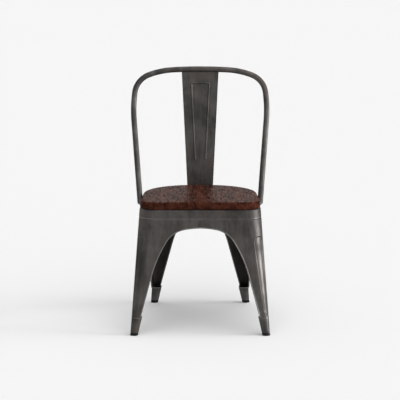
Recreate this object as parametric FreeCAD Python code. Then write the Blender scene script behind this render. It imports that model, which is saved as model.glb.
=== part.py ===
import FreeCAD, Part
import math
import os

# Metal bistro chair with a wooden seat board, in millimetres.
# X is to the sitter's left and right, Y runs from the front to the back, Z is up from the floor.

Vector = FreeCAD.Vector
UP = Vector(0, 0, 1)

# Overall stance
SEAT_HEIGHT = 440.0
BACK_HEIGHT = 845.0
FEET_DEPTH = 534.0
FRONT_FEET_WIDTH = 463.4
REAR_FEET_WIDTH = 348.8

# Sheet metal
LEG_WALL = 1.5
PAN_WALL = 1.5
TUCK_CLEARANCE = 0.3

# Seat pan, at the level of its top face
PAN_FRONT = 214.0
PAN_REAR = 150.0
PAN_FRONT_WIDTH = 402.2
PAN_REAR_WIDTH = 386.0
PAN_FRONT_RADIUS = 55.0
PAN_REAR_RADIUS = 160.0
SKIRT_HEIGHT = 32.0
PAN_EDGE_RADIUS = 6.0

# Leg pressings
KNEE_HEIGHT = 60.0
KNEE_RADIUS = 17.4
REAR_KNEE_WIDTH = 341.0
SHOULDER_GROOVE = 1.5
SHOULDER_RISE = 3.0
TUCK_HEIGHT = 20.0
HEM_RADIUS = 2.1
NOTCH_RISE = 5.0

# Arches between the legs: each runs over a top, a shoulder and a flank arc into a straight edge
ARCH_FLANK_RADIUS = 420.0
FRONT_ARCH_APEX = 355.3
FRONT_ARCH_NOTCH = 197.5
FRONT_ARCH_ANGLE = 15.0
FRONT_ARCH_RADIUS = 260.0
FRONT_ARCH_SHOULDER = 88.0
FRONT_ARCH_BLEND = 58.0
REAR_ARCH_APEX = 350.0
REAR_ARCH_NOTCH = 140.5
REAR_ARCH_ANGLE = 14.3
REAR_ARCH_RADIUS = 150.0
REAR_ARCH_SHOULDER = 55.0
REAR_ARCH_BLEND = 60.0
SIDE_ARCH_APEX = 350.0
SIDE_ARCH_RADIUS = 320.0
SIDE_ARCH_SHOULDER = 95.0
SIDE_FRONT_NOTCH = 229.0
SIDE_FRONT_ANGLE = 18.0
SIDE_FRONT_BLEND = 55.0
SIDE_REAR_NOTCH = 219.0
SIDE_REAR_ANGLE = 25.0
SIDE_REAR_BLEND = 52.0

# Flutes pressed into the corner of each leg
FLUTE_TOP = 326.0
FLUTE_TIP = 68.0
FLUTE_HALF_TOP = 20.5
FLUTE_HALF_LOW = 9.8
FLUTE_TAPER_END = 86.0
FLUTE_DEPTH = 3.0
FLUTE_TIP_FULLNESS = 0.68
FLUTE_DRAFT = 0.45
FLUTE_REACH = 12.0
FLUTE_CLEAR = 3.0

# Foot sleeves and rubber feet
SLEEVE_RADIUS = 12.5
RUBBER_HEIGHT = 9.0
RUBBER_RADIUS = 13.2
RUBBER_EDGE = 1.5
STEM_HEIGHT = 16.0
STEM_CLEARANCE = 0.15

# Seat board
BOARD_THICKNESS = 24.0
BOARD_FRONT = 219.0
BOARD_REAR = 147.0
BOARD_FRONT_WIDTH = 400.0
BOARD_REAR_WIDTH = 384.0
BOARD_FRONT_RADIUS = 50.0
BOARD_REAR_RADIUS = 168.0
BOARD_BACK_RADIUS = 460.0
BOARD_TOP_ROUND = 7.0
BOARD_BOTTOM_ROUND = 4.5
STAVE_JOINTS = (-120.0, -41.0, 69.0)

# Back hoop
TUBE_DIAMETER = 19.0
TUBE_WALL = 1.5
HOOP_HALF_WIDTH = 228.5
HOOP_TOP_Y = 203.0
HOOP_FOOT_Y = -22.0
HOOP_FOOT_DROP = 15.0
HOOP_TOP_RADIUS = 1520.0
HOOP_UPPER_RADIUS = 256.0
HOOP_SHOULDER_RADIUS = 78.0
HOOP_SIDE_RADIUS = 518.0
HOOP_UPPER_TURN = 22.0
HOOP_SHOULDER_TURN = 83.2
HOOP_END_SLANT = 26.0
PLUG_LENGTH = 14.0
PLUG_LIP = 1.6
WELD_BITE = 0.4

# Back splat
SPLAT_THICKNESS = 1.8
SPLAT_TOP_WIDTH = 128.0
SPLAT_BOTTOM_WIDTH = 87.0
SPLAT_BOW_RADIUS = 2700.0
SPLAT_FOOT_HEIGHT = 26.0
BEAD_RADIUS = 3.2
BEAD_RISE = 2.5
BEAD_WALL = 1.3
BEAD_GROOVE_SHARE = 0.85
BEAD_CROSS_SHARE = 0.9
BEAD_TOP = 786.0
BEAD_BOTTOM = 528.0
BEAD_TOP_HALF = 31.0
BEAD_BOTTOM_HALF = 17.8
BEAD_CROWN = 3.0

# Brace under the seat
BRACE_WIDTH = 25.0
BRACE_THICKNESS = 3.0
BRACE_LEVEL = 354.0
PAD_SPACING = 240.0
PAD_RADIUS = 8.0
PAD_HEIGHT = 4.0
PAD_STEM_RADIUS = 3.0
PAD_BARB = 1.2
PAD_EDGE = 1.5

# Seat fixings
BOLT_X = 90.0
BOLT_FRONT_Y = -130.0
BOLT_REAR_Y = 60.0
BOLT_RADIUS = 3.0
BOLT_HOLE_CLEARANCE = 0.4
HEAD_RADIUS = 5.75
HEAD_HEIGHT = 4.0
WASHER_RADIUS = 9.0
WASHER_THICKNESS = 1.6
INSERT_RADIUS = 4.5
INSERT_HEIGHT = 13.0
INSERT_CLEARANCE = 0.05
BOLT_ENGAGEMENT = 11.0

# Levels and extents that follow from the sizes above
PAN_TOP = SEAT_HEIGHT - BOARD_THICKNESS
SKIRT_BOTTOM = PAN_TOP - SKIRT_HEIGHT
TUCK_INSET = PAN_WALL + TUCK_CLEARANCE
FOOT_REACH = FEET_DEPTH / 2
TUBE_RADIUS = TUBE_DIAMETER / 2

# Working values of the construction
HUGE = 600.0
CORNER_PARTS = 3
SEAM_OVERLAP = 3.0
ARCH_CUT_DEPTH = 24.0
ARCH_CUT_MARGIN = 8.0
SHOULDER_SHARE = 0.7
SHOULDER_FALL = 0.35


def mix(a, b, share):
    return a + (b - a) * share


def corner_circles(z):
    """Centre and radius of the front and rear corner circles at a level, on the +X side."""
    rise = z / PAN_TOP
    front_y = mix(FOOT_REACH, PAN_FRONT, rise)
    rear_y = mix(FOOT_REACH, PAN_REAR, rise)
    front_x = mix(FRONT_FEET_WIDTH, PAN_FRONT_WIDTH, rise) / 2
    if z < KNEE_HEIGHT:
        share = z / KNEE_HEIGHT
        radius = mix(SLEEVE_RADIUS, KNEE_RADIUS, share)
        rear_x = mix(REAR_FEET_WIDTH, REAR_KNEE_WIDTH, share) / 2
        front_radius = radius
        rear_radius = radius
    else:
        share = (z - KNEE_HEIGHT) / (PAN_TOP - KNEE_HEIGHT)
        rear_x = mix(REAR_KNEE_WIDTH, PAN_REAR_WIDTH, share) / 2
        front_radius = mix(KNEE_RADIUS, PAN_FRONT_RADIUS, share)
        rear_radius = mix(KNEE_RADIUS, PAN_REAR_RADIUS, share)
    front = (Vector(front_x - front_radius, front_radius - front_y, z), front_radius)
    rear = (Vector(rear_x - rear_radius, rear_y - rear_radius, z), rear_radius)
    return front, rear


def tangent_angle(front, rear):
    """Direction of the outward normal of the line that touches both circles on the +X side."""
    gap = rear[0] - front[0]
    length = math.hypot(gap.x, gap.y)
    along = math.atan2(gap.y, gap.x)
    return along - math.acos((front[1] - rear[1]) / length)


def on_circle(centre, radius, angle):
    return centre + Vector(radius * math.cos(angle), radius * math.sin(angle), 0)


def arc_edge(centre, radius, start, end):
    middle = (start + end) / 2
    points = [on_circle(centre, radius, a) for a in (start, middle, end)]
    return Part.Arc(*points).toShape()


def corner_edges(centre, radius, start, end):
    """Corner of an outline as a few equal arcs."""
    turns = [mix(start, end, i / CORNER_PARTS) for i in range(CORNER_PARTS + 1)]
    return [arc_edge(centre, radius, a, b) for a, b in zip(turns, turns[1:])]


def line_edge(start, end):
    return Part.LineSegment(start, end).toShape()


def mirrored_x(vector):
    return Vector(-vector.x, vector.y, vector.z)


def ring(z, inset):
    """Rounded outline of the base at a level, drawn in by an inset."""
    front, rear = corner_circles(z)
    side = tangent_angle(front, rear)
    front_radius = front[1] - inset
    rear_radius = rear[1] - inset
    left_front = mirrored_x(front[0])
    left_rear = mirrored_x(rear[0])
    down = -math.pi / 2
    back = math.pi / 2
    edges = corner_edges(front[0], front_radius, down, side)
    edges.append(line_edge(on_circle(front[0], front_radius, side), on_circle(rear[0], rear_radius, side)))
    edges += corner_edges(rear[0], rear_radius, side, back)
    edges.append(line_edge(on_circle(rear[0], rear_radius, back), on_circle(left_rear, rear_radius, back)))
    edges += corner_edges(left_rear, rear_radius, back, math.pi - side)
    edges.append(line_edge(on_circle(left_rear, rear_radius, math.pi - side),
                           on_circle(left_front, front_radius, math.pi - side)))
    edges += corner_edges(left_front, front_radius, math.pi - side, 2 * math.pi + down)
    edges.append(line_edge(on_circle(left_front, front_radius, down), on_circle(front[0], front_radius, down)))
    return Part.Wire(edges)


def strip_face(low, high):
    """Face between two matching edges of neighbouring outlines, flat where the edges are parallel."""
    a, b = low.valueAt(low.FirstParameter), low.valueAt(low.LastParameter)
    c, d = high.valueAt(high.LastParameter), high.valueAt(high.FirstParameter)
    if isinstance(low.Curve, Part.Line) and (b - a).cross(c - d).Length < 1e-6:
        return Part.Face(Part.makePolygon([a, b, c, d, a]))
    return Part.makeRuledSurface(low, high)


def base_loft(levels):
    """Solid through outlines given as pairs of level and inset."""
    rings = [ring(z, inset) for z, inset in levels]
    faces = [Part.Face(rings[0]), Part.Face(rings[-1])]
    for low, high in zip(rings, rings[1:]):
        faces += [strip_face(a, b) for a, b in zip(low.Edges, high.Edges)]
    shell = Part.Shell(faces)
    shell.sewShape()
    return Part.Solid(Part.Shell(shell.Faces))


def side_point(y, z, inset=0.0):
    """Point of the base's +X side face at a depth and a level."""
    front, rear = corner_circles(z)
    side = tangent_angle(front, rear)
    a = on_circle(front[0], front[1] - inset, side)
    b = on_circle(rear[0], rear[1] - inset, side)
    share = (y - a.y) / (b.y - a.y)
    return a + (b - a) * share


def front_face_y(z):
    return -mix(FOOT_REACH, PAN_FRONT, z / PAN_TOP)


def rear_face_y(z):
    return mix(FOOT_REACH, PAN_REAR, z / PAN_TOP)


class Panel:
    """Flat drawing plane on one face of the base, with the arch's apex at its origin."""

    def __init__(self, apex, notch_point, across):
        self.origin = apex
        fall = notch_point - apex
        normal = across.cross(fall)
        self.normal = normal.normalize()
        self.across = Vector(across).normalize()
        self.down = self.normal.cross(self.across)
        if self.down.z > 0:
            self.down = self.down * -1

    def at(self, u, w, depth=0.0):
        return self.origin + self.across * u + self.down * w + self.normal * depth

    def drop(self, height):
        return height / -self.down.z


class Arch:
    """Sizes of half an arch, and what is made from them: cutter, hem path and hem zone."""

    def __init__(self, apex, notch, angle, radius, shoulder, blend):
        self.apex = apex
        self.notch = notch
        self.angle = math.radians(90.0 - angle)
        self.radius = radius
        self.shoulder = shoulder
        self.blend = math.radians(blend)


def arch_edges(panel, arch, notch_drop, depth):
    """Edges of half an arch on a panel, from the seam to the notch, and the notch's place."""
    top_radius, shoulder_radius, flank_radius = arch.radius, arch.shoulder, ARCH_FLANK_RADIUS
    angle = arch.angle
    blend = arch.blend
    notch = (arch.notch, notch_drop)
    reach = notch[0] * math.sin(angle) - notch[1] * math.cos(angle)
    reach += top_radius * math.cos(angle)
    reach -= (shoulder_radius - flank_radius) * math.cos(angle - blend) + flank_radius
    turn = angle - math.acos(reach / (top_radius - shoulder_radius))

    def spot(centre, radius, normal):
        return (centre[0] + radius * math.sin(normal), centre[1] - radius * math.cos(normal))

    centre = (0.0, top_radius)
    spans = ((top_radius, 0.0, turn), (shoulder_radius, turn, blend), (flank_radius, blend, angle))
    edges = [line_edge(panel.at(-SEAM_OVERLAP, 0.0, depth), panel.at(0.0, 0.0, depth))]
    last_radius = top_radius
    for radius, start, end in spans:
        shift = last_radius - radius
        centre = (centre[0] + shift * math.sin(start), centre[1] - shift * math.cos(start))
        places = [spot(centre, radius, a) for a in (start, (start + end) / 2, end)]
        edges.append(Part.Arc(*[panel.at(u, w, depth) for u, w in places]).toShape())
        last_radius = radius
    edges.append(line_edge(panel.at(*places[-1], depth), panel.at(*notch, depth)))
    return edges, notch


def face_arches():
    """Sizes, apex, notch point and direction of the arches on the front and rear faces."""
    notch_z = KNEE_HEIGHT + NOTCH_RISE
    front = Arch(FRONT_ARCH_APEX, FRONT_ARCH_NOTCH, FRONT_ARCH_ANGLE,
                 FRONT_ARCH_RADIUS, FRONT_ARCH_SHOULDER, FRONT_ARCH_BLEND)
    rear = Arch(REAR_ARCH_APEX, REAR_ARCH_NOTCH, REAR_ARCH_ANGLE,
                REAR_ARCH_RADIUS, REAR_ARCH_SHOULDER, REAR_ARCH_BLEND)
    jobs = []
    for arch, face_y in ((front, front_face_y), (rear, rear_face_y)):
        apex = Vector(0, face_y(arch.apex), arch.apex)
        low = Vector(arch.notch, face_y(notch_z), notch_z)
        jobs.append((arch, apex, low, Vector(1, 0, 0)))
    return jobs


def side_arches():
    """The same for the two halves of the arch on the +X side face."""
    notch_z = KNEE_HEIGHT + NOTCH_RISE
    front = Arch(SIDE_ARCH_APEX, SIDE_FRONT_NOTCH, SIDE_FRONT_ANGLE,
                 SIDE_ARCH_RADIUS, SIDE_ARCH_SHOULDER, SIDE_FRONT_BLEND)
    rear = Arch(SIDE_ARCH_APEX, SIDE_REAR_NOTCH, SIDE_REAR_ANGLE,
                SIDE_ARCH_RADIUS, SIDE_ARCH_SHOULDER, SIDE_REAR_BLEND)
    jobs = []
    for arch, way in ((front, -1), (rear, 1)):
        apex = side_point(0, arch.apex)
        low = side_point(way * arch.notch, notch_z)
        shoulder = side_point(way * arch.notch * SHOULDER_SHARE, mix(arch.apex, notch_z, SHOULDER_FALL))
        face = (low - apex).cross(shoulder - apex)
        across = face.cross(UP)
        if across.y * way < 0:
            across = across * -1
        jobs.append((arch, apex, low, across))
    return jobs


def build_arches():
    """Cutters, hem paths and hem zones of the four half arches of the +X half of the base."""
    above = Part.makeBox(2 * HUGE, 2 * HUGE, HUGE, Vector(-HUGE, -HUGE, KNEE_HEIGHT + NOTCH_RISE))
    front_knee, rear_knee = [circle[0] for circle in corner_circles(KNEE_HEIGHT)]
    inner_reaches = (front_knee.x, rear_knee.x, -front_knee.y, rear_knee.y)
    arches = []
    for (arch, apex, low, across), knee in zip(face_arches() + side_arches(), inner_reaches):
        panel = Panel(apex, low, across)
        notch_drop = panel.drop(apex.z - low.z)
        step_drop = notch_drop + panel.drop(NOTCH_RISE)
        bottom = step_drop + ARCH_CUT_MARGIN
        inner = knee - KNEE_RADIUS
        edges, notch = arch_edges(panel, arch, notch_drop, 0.0)
        loop = [notch, (inner, step_drop), (inner, bottom), (-SEAM_OVERLAP, bottom), (-SEAM_OVERLAP, 0.0)]
        for a, b in zip(loop, loop[1:]):
            edges.append(line_edge(panel.at(*a), panel.at(*b)))
        face = Part.Face(Part.Wire(edges))
        face.translate(panel.normal * (-ARCH_CUT_DEPTH / 2))
        inward = -1 if panel.normal.dot(Vector(apex.x, apex.y, 0)) > 0 else 1
        arch.path = Part.Wire(arch_edges(panel, arch, notch_drop, inward * LEG_WALL / 2)[0])
        arch.cutter = face.extrude(panel.normal * ARCH_CUT_DEPTH)
        arch.zone = face.makeOffset2D(2 * HEM_RADIUS).extrude(panel.normal * ARCH_CUT_DEPTH).common(above)
        arches.append(arch)
    return arches


def round_bar(wire, radius):
    """Solid round bar along a wire of tangent lines and arcs."""
    pieces = []
    for edge in wire.OrderedEdges:
        start = edge.valueAt(edge.FirstParameter)
        direction = edge.tangentAt(edge.FirstParameter)
        if isinstance(edge.Curve, Part.Line):
            pieces.append(Part.makeCylinder(radius, edge.Length, start, direction))
        else:
            disc = Part.Face(Part.Wire([Part.Circle(start, direction, radius).toShape()]))
            sweep = math.degrees(edge.LastParameter - edge.FirstParameter)
            pieces.append(disc.revolve(edge.Curve.Center, edge.Curve.Axis, sweep))
    return pieces[0].fuse(pieces[1:])


def flute_window(corner, grow, depth_out, depth_in):
    """Tapering window of one corner's flute, with drafted walls, grown by an amount."""
    low = corner_point(corner, KNEE_HEIGHT, 0.0)
    high = corner_point(corner, PAN_TOP, 0.0)
    climb = (high - low).normalize()
    across = Vector(1, 1 if corner == 0 else -1, 0).normalize()
    outward = across.cross(climb)
    if outward.x < 0:
        outward = outward * -1

    def place(s, z, depth):
        share = (z - KNEE_HEIGHT) / (PAN_TOP - KNEE_HEIGHT)
        return low + (high - low) * share + across * s + outward * depth

    def outline(depth, extra):
        half = FLUTE_HALF_TOP + extra
        half_low = FLUTE_HALF_LOW + extra
        shoulder = FLUTE_TOP - FLUTE_HALF_TOP
        crown = shoulder + half
        tip = FLUTE_TIP - extra
        bulge = (FLUTE_TAPER_END + tip) / 2
        left_low = place(-half_low, FLUTE_TAPER_END, depth)
        right_low = place(half_low, FLUTE_TAPER_END, depth)
        left_high = place(-half, shoulder, depth)
        right_high = place(half, shoulder, depth)
        top_arc = Part.Arc(right_high, place(0, crown, depth), left_high)
        point = place(0, tip, depth)
        left_arc = Part.Arc(point, place(-half_low * FLUTE_TIP_FULLNESS, bulge, depth), left_low)
        right_arc = Part.Arc(right_low, place(half_low * FLUTE_TIP_FULLNESS, bulge, depth), point)
        return Part.Wire([top_arc.toShape(), line_edge(left_high, left_low), left_arc.toShape().reversed(),
                          right_arc.toShape().reversed(), line_edge(right_low, right_high)])

    outer = outline(depth_out, grow + FLUTE_DRAFT * depth_out)
    inner = outline(-depth_in, grow - FLUTE_DRAFT * depth_in)
    return Part.makeLoft([outer, inner], True, True)


def build_base_half():
    """The +X half of the base before it is parted into legs."""
    shoulder_top = SKIRT_BOTTOM - SHOULDER_GROOVE
    shoulder_low = shoulder_top - SHOULDER_RISE
    tuck_top = SKIRT_BOTTOM + TUCK_HEIGHT
    levels = (KNEE_HEIGHT, shoulder_low, shoulder_top, tuck_top)
    insets = (0.0, 0.0, TUCK_INSET, TUCK_INSET)
    outer = base_loft(list(zip(levels, insets)))
    inner = base_loft([(z, inset + LEG_WALL) for z, inset in zip(levels, insets)])
    half = Part.makeBox(HUGE, 2 * HUGE, HUGE, Vector(0, -HUGE, 0))
    shell = outer.cut(inner).common(half)
    flute_levels = (KNEE_HEIGHT, shoulder_low)
    skins = [base_loft([(z, inset) for z in flute_levels])
             for inset in (0.0, LEG_WALL, FLUTE_DEPTH, FLUTE_DEPTH + LEG_WALL)]
    skin, lining, floor, backing = skins
    for corner in (0, 1):
        window = flute_window(corner, 0.0, FLUTE_CLEAR, FLUTE_REACH)
        grown = flute_window(corner, LEG_WALL, FLUTE_CLEAR, FLUTE_REACH)
        bulge = lining.cut(backing).common(grown)
        recess = skin.cut(floor).common(window)
        shell = shell.fuse(bulge).cut(recess)
    return shell


def build_sleeve(corner):
    """Closed foot sleeve below the knee, on the +X side."""
    def skin(inset):
        wires = []
        for z in (RUBBER_HEIGHT, KNEE_HEIGHT):
            centre, radius = corner_circles(z)[corner]
            wires.append(Part.Wire([Part.Circle(centre, UP, radius - inset).toShape()]))
        return Part.makeLoft(wires, True, True)

    return skin(0.0).cut(skin(LEG_WALL))


def main_body(shape):
    """The largest solid of a trimmed shape, without the shavings that the trimming leaves."""
    return max(shape.Solids, key=lambda solid: solid.Volume)


def build_legs():
    """Front and rear leg on the +X side: sheet, flute, hemmed arches and closed sleeve."""
    base = build_base_half()
    arches = build_arches()
    lip = HEM_RADIUS - LEG_WALL / 2
    levels = (KNEE_HEIGHT, SKIRT_BOTTOM)
    thick = base_loft([(z, -lip) for z in levels]).cut(base_loft([(z, LEG_WALL + lip) for z in levels]))
    legs = []
    for corner, face_arch, side_arch in ((0, arches[0], arches[2]), (1, arches[1], arches[3])):
        quarter = Part.makeBox(HUGE, HUGE, HUGE, Vector(0, -HUGE if corner == 0 else 0, 0))
        side_hem = thick.common(side_arch.zone).common(quarter)
        face_hem = round_bar(face_arch.path, HEM_RADIUS).common(quarter)
        leg = base.common(quarter).fuse(side_hem)
        leg = leg.cut(face_arch.cutter).cut(side_arch.cutter)
        leg = leg.fuse(face_hem).fuse(build_sleeve(corner))
        legs.append(main_body(leg.removeSplitter()))
    return legs


def build_rubber_foot(corner):
    """Rubber foot: a tip under the sleeve and a stem inside it."""
    def disc(z, radius):
        centre = corner_circles(z)[corner][0]
        return Part.Wire([Part.Circle(centre, UP, radius).toShape()])

    rounds = [disc(0.0, RUBBER_RADIUS - RUBBER_EDGE), disc(RUBBER_EDGE, RUBBER_RADIUS)]
    tip = Part.makeLoft(rounds, True, True)
    low = corner_circles(RUBBER_EDGE)[corner][0]
    seat = corner_circles(RUBBER_HEIGHT)[corner][0]
    top = corner_circles(RUBBER_HEIGHT + STEM_HEIGHT)[corner][0]
    body = Part.Face(disc(RUBBER_EDGE, RUBBER_RADIUS)).extrude(seat - low)
    stem = Part.Face(disc(RUBBER_HEIGHT, SLEEVE_RADIUS - LEG_WALL - STEM_CLEARANCE)).extrude(top - seat)
    return tip.fuse([body, stem])


def bolt_places():
    places = []
    for y in (BOLT_FRONT_Y, BOLT_REAR_Y):
        for x in (-BOLT_X, BOLT_X):
            places.append(Vector(x, y, 0))
    return places


def rod(place, z, radius, height):
    return Part.makeCylinder(radius, height, Vector(place.x, place.y, z))


def edges_at(shape, z):
    """Edges that lie wholly at one level."""
    near = 0.01
    return [e for e in shape.Edges if abs(e.BoundBox.ZMin - z) < near and abs(e.BoundBox.ZMax - z) < near]


def build_pan():
    """Pressed seat pan: top plate, rounded rim and skirt."""
    outer = Part.makeLoft([ring(SKIRT_BOTTOM, 0.0), ring(PAN_TOP, 0.0)], True, True)
    outer = outer.makeFillet(PAN_EDGE_RADIUS, edges_at(outer, PAN_TOP))
    ceiling = PAN_TOP - PAN_WALL
    inner = Part.makeLoft([ring(SKIRT_BOTTOM, PAN_WALL), ring(ceiling, PAN_WALL)], True, True)
    inner = inner.makeFillet(PAN_EDGE_RADIUS - PAN_WALL, edges_at(inner, ceiling))
    pan = outer.cut(inner)
    for place in bolt_places():
        pan = pan.cut(rod(place, SKIRT_BOTTOM, BOLT_RADIUS + BOLT_HOLE_CLEARANCE, SKIRT_HEIGHT))
    return pan


def board_outline(z):
    """Outline of the seat board: straight front, rounded corners, bowed back."""
    front = (Vector(BOARD_FRONT_WIDTH / 2 - BOARD_FRONT_RADIUS, BOARD_FRONT_RADIUS - BOARD_FRONT, z),
             BOARD_FRONT_RADIUS)
    back_centre = Vector(0, BOARD_REAR - BOARD_BACK_RADIUS, z)
    rear_x = BOARD_REAR_WIDTH / 2 - BOARD_REAR_RADIUS
    rear_y = back_centre.y + math.sqrt((BOARD_BACK_RADIUS - BOARD_REAR_RADIUS) ** 2 - rear_x ** 2)
    rear = (Vector(rear_x, rear_y, z), BOARD_REAR_RADIUS)
    side = tangent_angle(front, rear)
    turn = math.atan2(rear_y - back_centre.y, rear_x)
    left_front = mirrored_x(front[0])
    left_rear = mirrored_x(rear[0])
    down = -math.pi / 2
    return Part.Wire([
        arc_edge(front[0], front[1], down, side),
        line_edge(on_circle(front[0], front[1], side), on_circle(rear[0], rear[1], side)),
        arc_edge(rear[0], rear[1], side, turn),
        arc_edge(back_centre, BOARD_BACK_RADIUS, turn, math.pi - turn),
        arc_edge(left_rear, rear[1], math.pi - turn, math.pi - side),
        line_edge(on_circle(left_rear, rear[1], math.pi - side), on_circle(left_front, front[1], math.pi - side)),
        arc_edge(left_front, front[1], math.pi - side, 2 * math.pi + down),
        line_edge(on_circle(left_front, front[1], down), on_circle(front[0], front[1], down)),
    ])


def build_staves():
    """Seat board with rounded edges, parted into its glued staves."""
    face = Part.Face(board_outline(PAN_TOP))
    board = face.extrude(UP * BOARD_THICKNESS)
    board = board.makeFillet(BOARD_TOP_ROUND, edges_at(board, SEAT_HEIGHT))
    board = board.makeFillet(BOARD_BOTTOM_ROUND, edges_at(board, PAN_TOP))
    for place in bolt_places():
        board = board.cut(rod(place, PAN_TOP, INSERT_RADIUS, INSERT_HEIGHT))
    stops = (-HUGE,) + STAVE_JOINTS + (HUGE,)
    staves = []
    for low, high in zip(stops, stops[1:]):
        slab = Part.makeBox(high - low, 2 * HUGE, HUGE, Vector(low, -HUGE, 0))
        staves.append(board.common(slab))
    return staves


def build_fixings():
    """Bolts, washers and threaded inserts that hold the board on the pan."""
    under = PAN_TOP - PAN_WALL
    bolts = []
    washers = []
    inserts = []
    for place in bolt_places():
        washer = rod(place, under - WASHER_THICKNESS, WASHER_RADIUS, WASHER_THICKNESS)
        hole = rod(place, under - WASHER_THICKNESS, BOLT_RADIUS + BOLT_HOLE_CLEARANCE, WASHER_THICKNESS)
        washers.append(washer.cut(hole))
        head_top = under - WASHER_THICKNESS
        hexagon = Part.makePolygon([Vector(place.x + HEAD_RADIUS * math.cos(math.radians(60 * i)),
                                           place.y + HEAD_RADIUS * math.sin(math.radians(60 * i)),
                                           head_top - HEAD_HEIGHT) for i in range(7)])
        head = Part.Face(hexagon).extrude(UP * HEAD_HEIGHT)
        shank = rod(place, head_top, BOLT_RADIUS, PAN_TOP + BOLT_ENGAGEMENT - head_top)
        bolts.append(head.fuse(shank))
        body = rod(place, PAN_TOP, INSERT_RADIUS, INSERT_HEIGHT)
        inserts.append(body.cut(rod(place, PAN_TOP, BOLT_RADIUS + INSERT_CLEARANCE, INSERT_HEIGHT)))
    return Part.makeCompound(bolts), Part.makeCompound(washers), Part.makeCompound(inserts)


class HoopPlane:
    """The leaning plane of the hoop's centre line, with its origin at the hoop's foot level."""

    def __init__(self):
        self.foot_z = PAN_TOP - HOOP_FOOT_DROP
        self.top_z = BACK_HEIGHT - TUBE_RADIUS
        lean = Vector(0, HOOP_TOP_Y - HOOP_FOOT_Y, self.top_z - self.foot_z)
        self.height = lean.Length
        self.climb = lean.normalize()
        self.origin = Vector(0, HOOP_FOOT_Y, self.foot_z)

    def at(self, x, s):
        return self.origin + Vector(x, 0, 0) + self.climb * s


def hoop_path(plane):
    """Centre line of the hoop: straight feet, side, shoulder, upper and top arcs."""
    foot_x = side_point(HOOP_FOOT_Y, plane.foot_z).x + TUBE_RADIUS - WELD_BITE
    upper = math.radians(HOOP_UPPER_TURN)
    shoulder = math.radians(HOOP_SHOULDER_TURN)
    radii = (HOOP_TOP_RADIUS, HOOP_UPPER_RADIUS, HOOP_SHOULDER_RADIUS, HOOP_SIDE_RADIUS)
    spare = HOOP_HALF_WIDTH - HOOP_SIDE_RADIUS
    spare -= (HOOP_UPPER_RADIUS - HOOP_SHOULDER_RADIUS) * math.sin(upper)
    spare -= (HOOP_SHOULDER_RADIUS - HOOP_SIDE_RADIUS) * math.sin(shoulder)
    top = math.asin(spare / (HOOP_TOP_RADIUS - HOOP_UPPER_RADIUS))
    centre = (0.0, plane.height - HOOP_TOP_RADIUS)
    starts = (0.0, top, upper, shoulder)
    centres = []
    last = HOOP_TOP_RADIUS
    for radius, start in zip(radii, starts):
        shift = last - radius
        centre = (centre[0] + shift * math.sin(start), centre[1] + shift * math.cos(start))
        centres.append(centre)
        last = radius
    side = centres[-1]
    to_foot = (foot_x - side[0], -side[1])
    reach = math.hypot(*to_foot)
    bearing = math.atan2(to_foot[0], to_foot[1])
    foot_turn = bearing - math.acos(HOOP_SIDE_RADIUS / reach)
    ends = (top, upper, shoulder, foot_turn)

    def spot(index, turn, way):
        cx, cs = centres[index]
        return plane.at(way * (cx + radii[index] * math.sin(turn)), cs + radii[index] * math.cos(turn))

    def side_edges(way):
        edges = []
        for index in (1, 2, 3):
            turns = (starts[index], (starts[index] + ends[index]) / 2, ends[index])
            edges.append(Part.Arc(*[spot(index, t, way) for t in turns]).toShape())
        overrun = -2 * TUBE_DIAMETER
        slope = (foot_x - (centres[3][0] + radii[3] * math.sin(foot_turn)))
        slope /= -(centres[3][1] + radii[3] * math.cos(foot_turn))
        edges.append(line_edge(spot(3, foot_turn, way), plane.at(way * (foot_x + slope * overrun), overrun)))
        return edges

    top_edge = Part.Arc(spot(0, top, -1), plane.at(0, plane.height), spot(0, top, 1)).toShape()
    edges = side_edges(-1) + [top_edge] + side_edges(1)
    return Part.Wire(Part.__sortEdges__(edges)), foot_x


def end_cut(plane, foot_x, way, shift):
    """Block below the slanted end of one foot of the hoop."""
    slant = math.radians(HOOP_END_SLANT)
    block = Part.makeBox(HUGE, HUGE, HUGE, Vector(-HUGE / 2, -HUGE / 2, -HUGE))
    block.rotate(Vector(0, 0, 0), Vector(0, 1, 0), -way * math.degrees(slant))
    block.translate(plane.at(way * foot_x, 0) + UP * shift)
    return block


def build_hoop():
    """Bent tube of the back, seated on the skirt, and the plugs in its two ends."""
    plane = HoopPlane()
    path, foot_x = hoop_path(plane)
    outer = round_bar(path, TUBE_RADIUS)
    bore = round_bar(path, TUBE_RADIUS - TUBE_WALL)
    seat_body = base_loft([(KNEE_HEIGHT, 0.0), (PAN_TOP, 0.0)])
    tube = outer.cut(bore)
    plugs = []
    for way in (-1, 1):
        tube = tube.cut(end_cut(plane, foot_x, way, 0.0))
        lip_zone = end_cut(plane, foot_x, way, 0.0).cut(end_cut(plane, foot_x, way, -PLUG_LIP))
        stem_zone = end_cut(plane, foot_x, way, PLUG_LENGTH).cut(end_cut(plane, foot_x, way, 0.0))
        column = Part.makeBox(HUGE, 2 * HUGE, HUGE, Vector(0 if way > 0 else -HUGE, -HUGE, 0))
        lip = outer.common(lip_zone).common(column)
        stem = bore.common(stem_zone).common(column)
        plugs.append(lip.fuse(stem).cut(seat_body))
    tube = tube.cut(seat_body)
    return tube, plugs, outer


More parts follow.
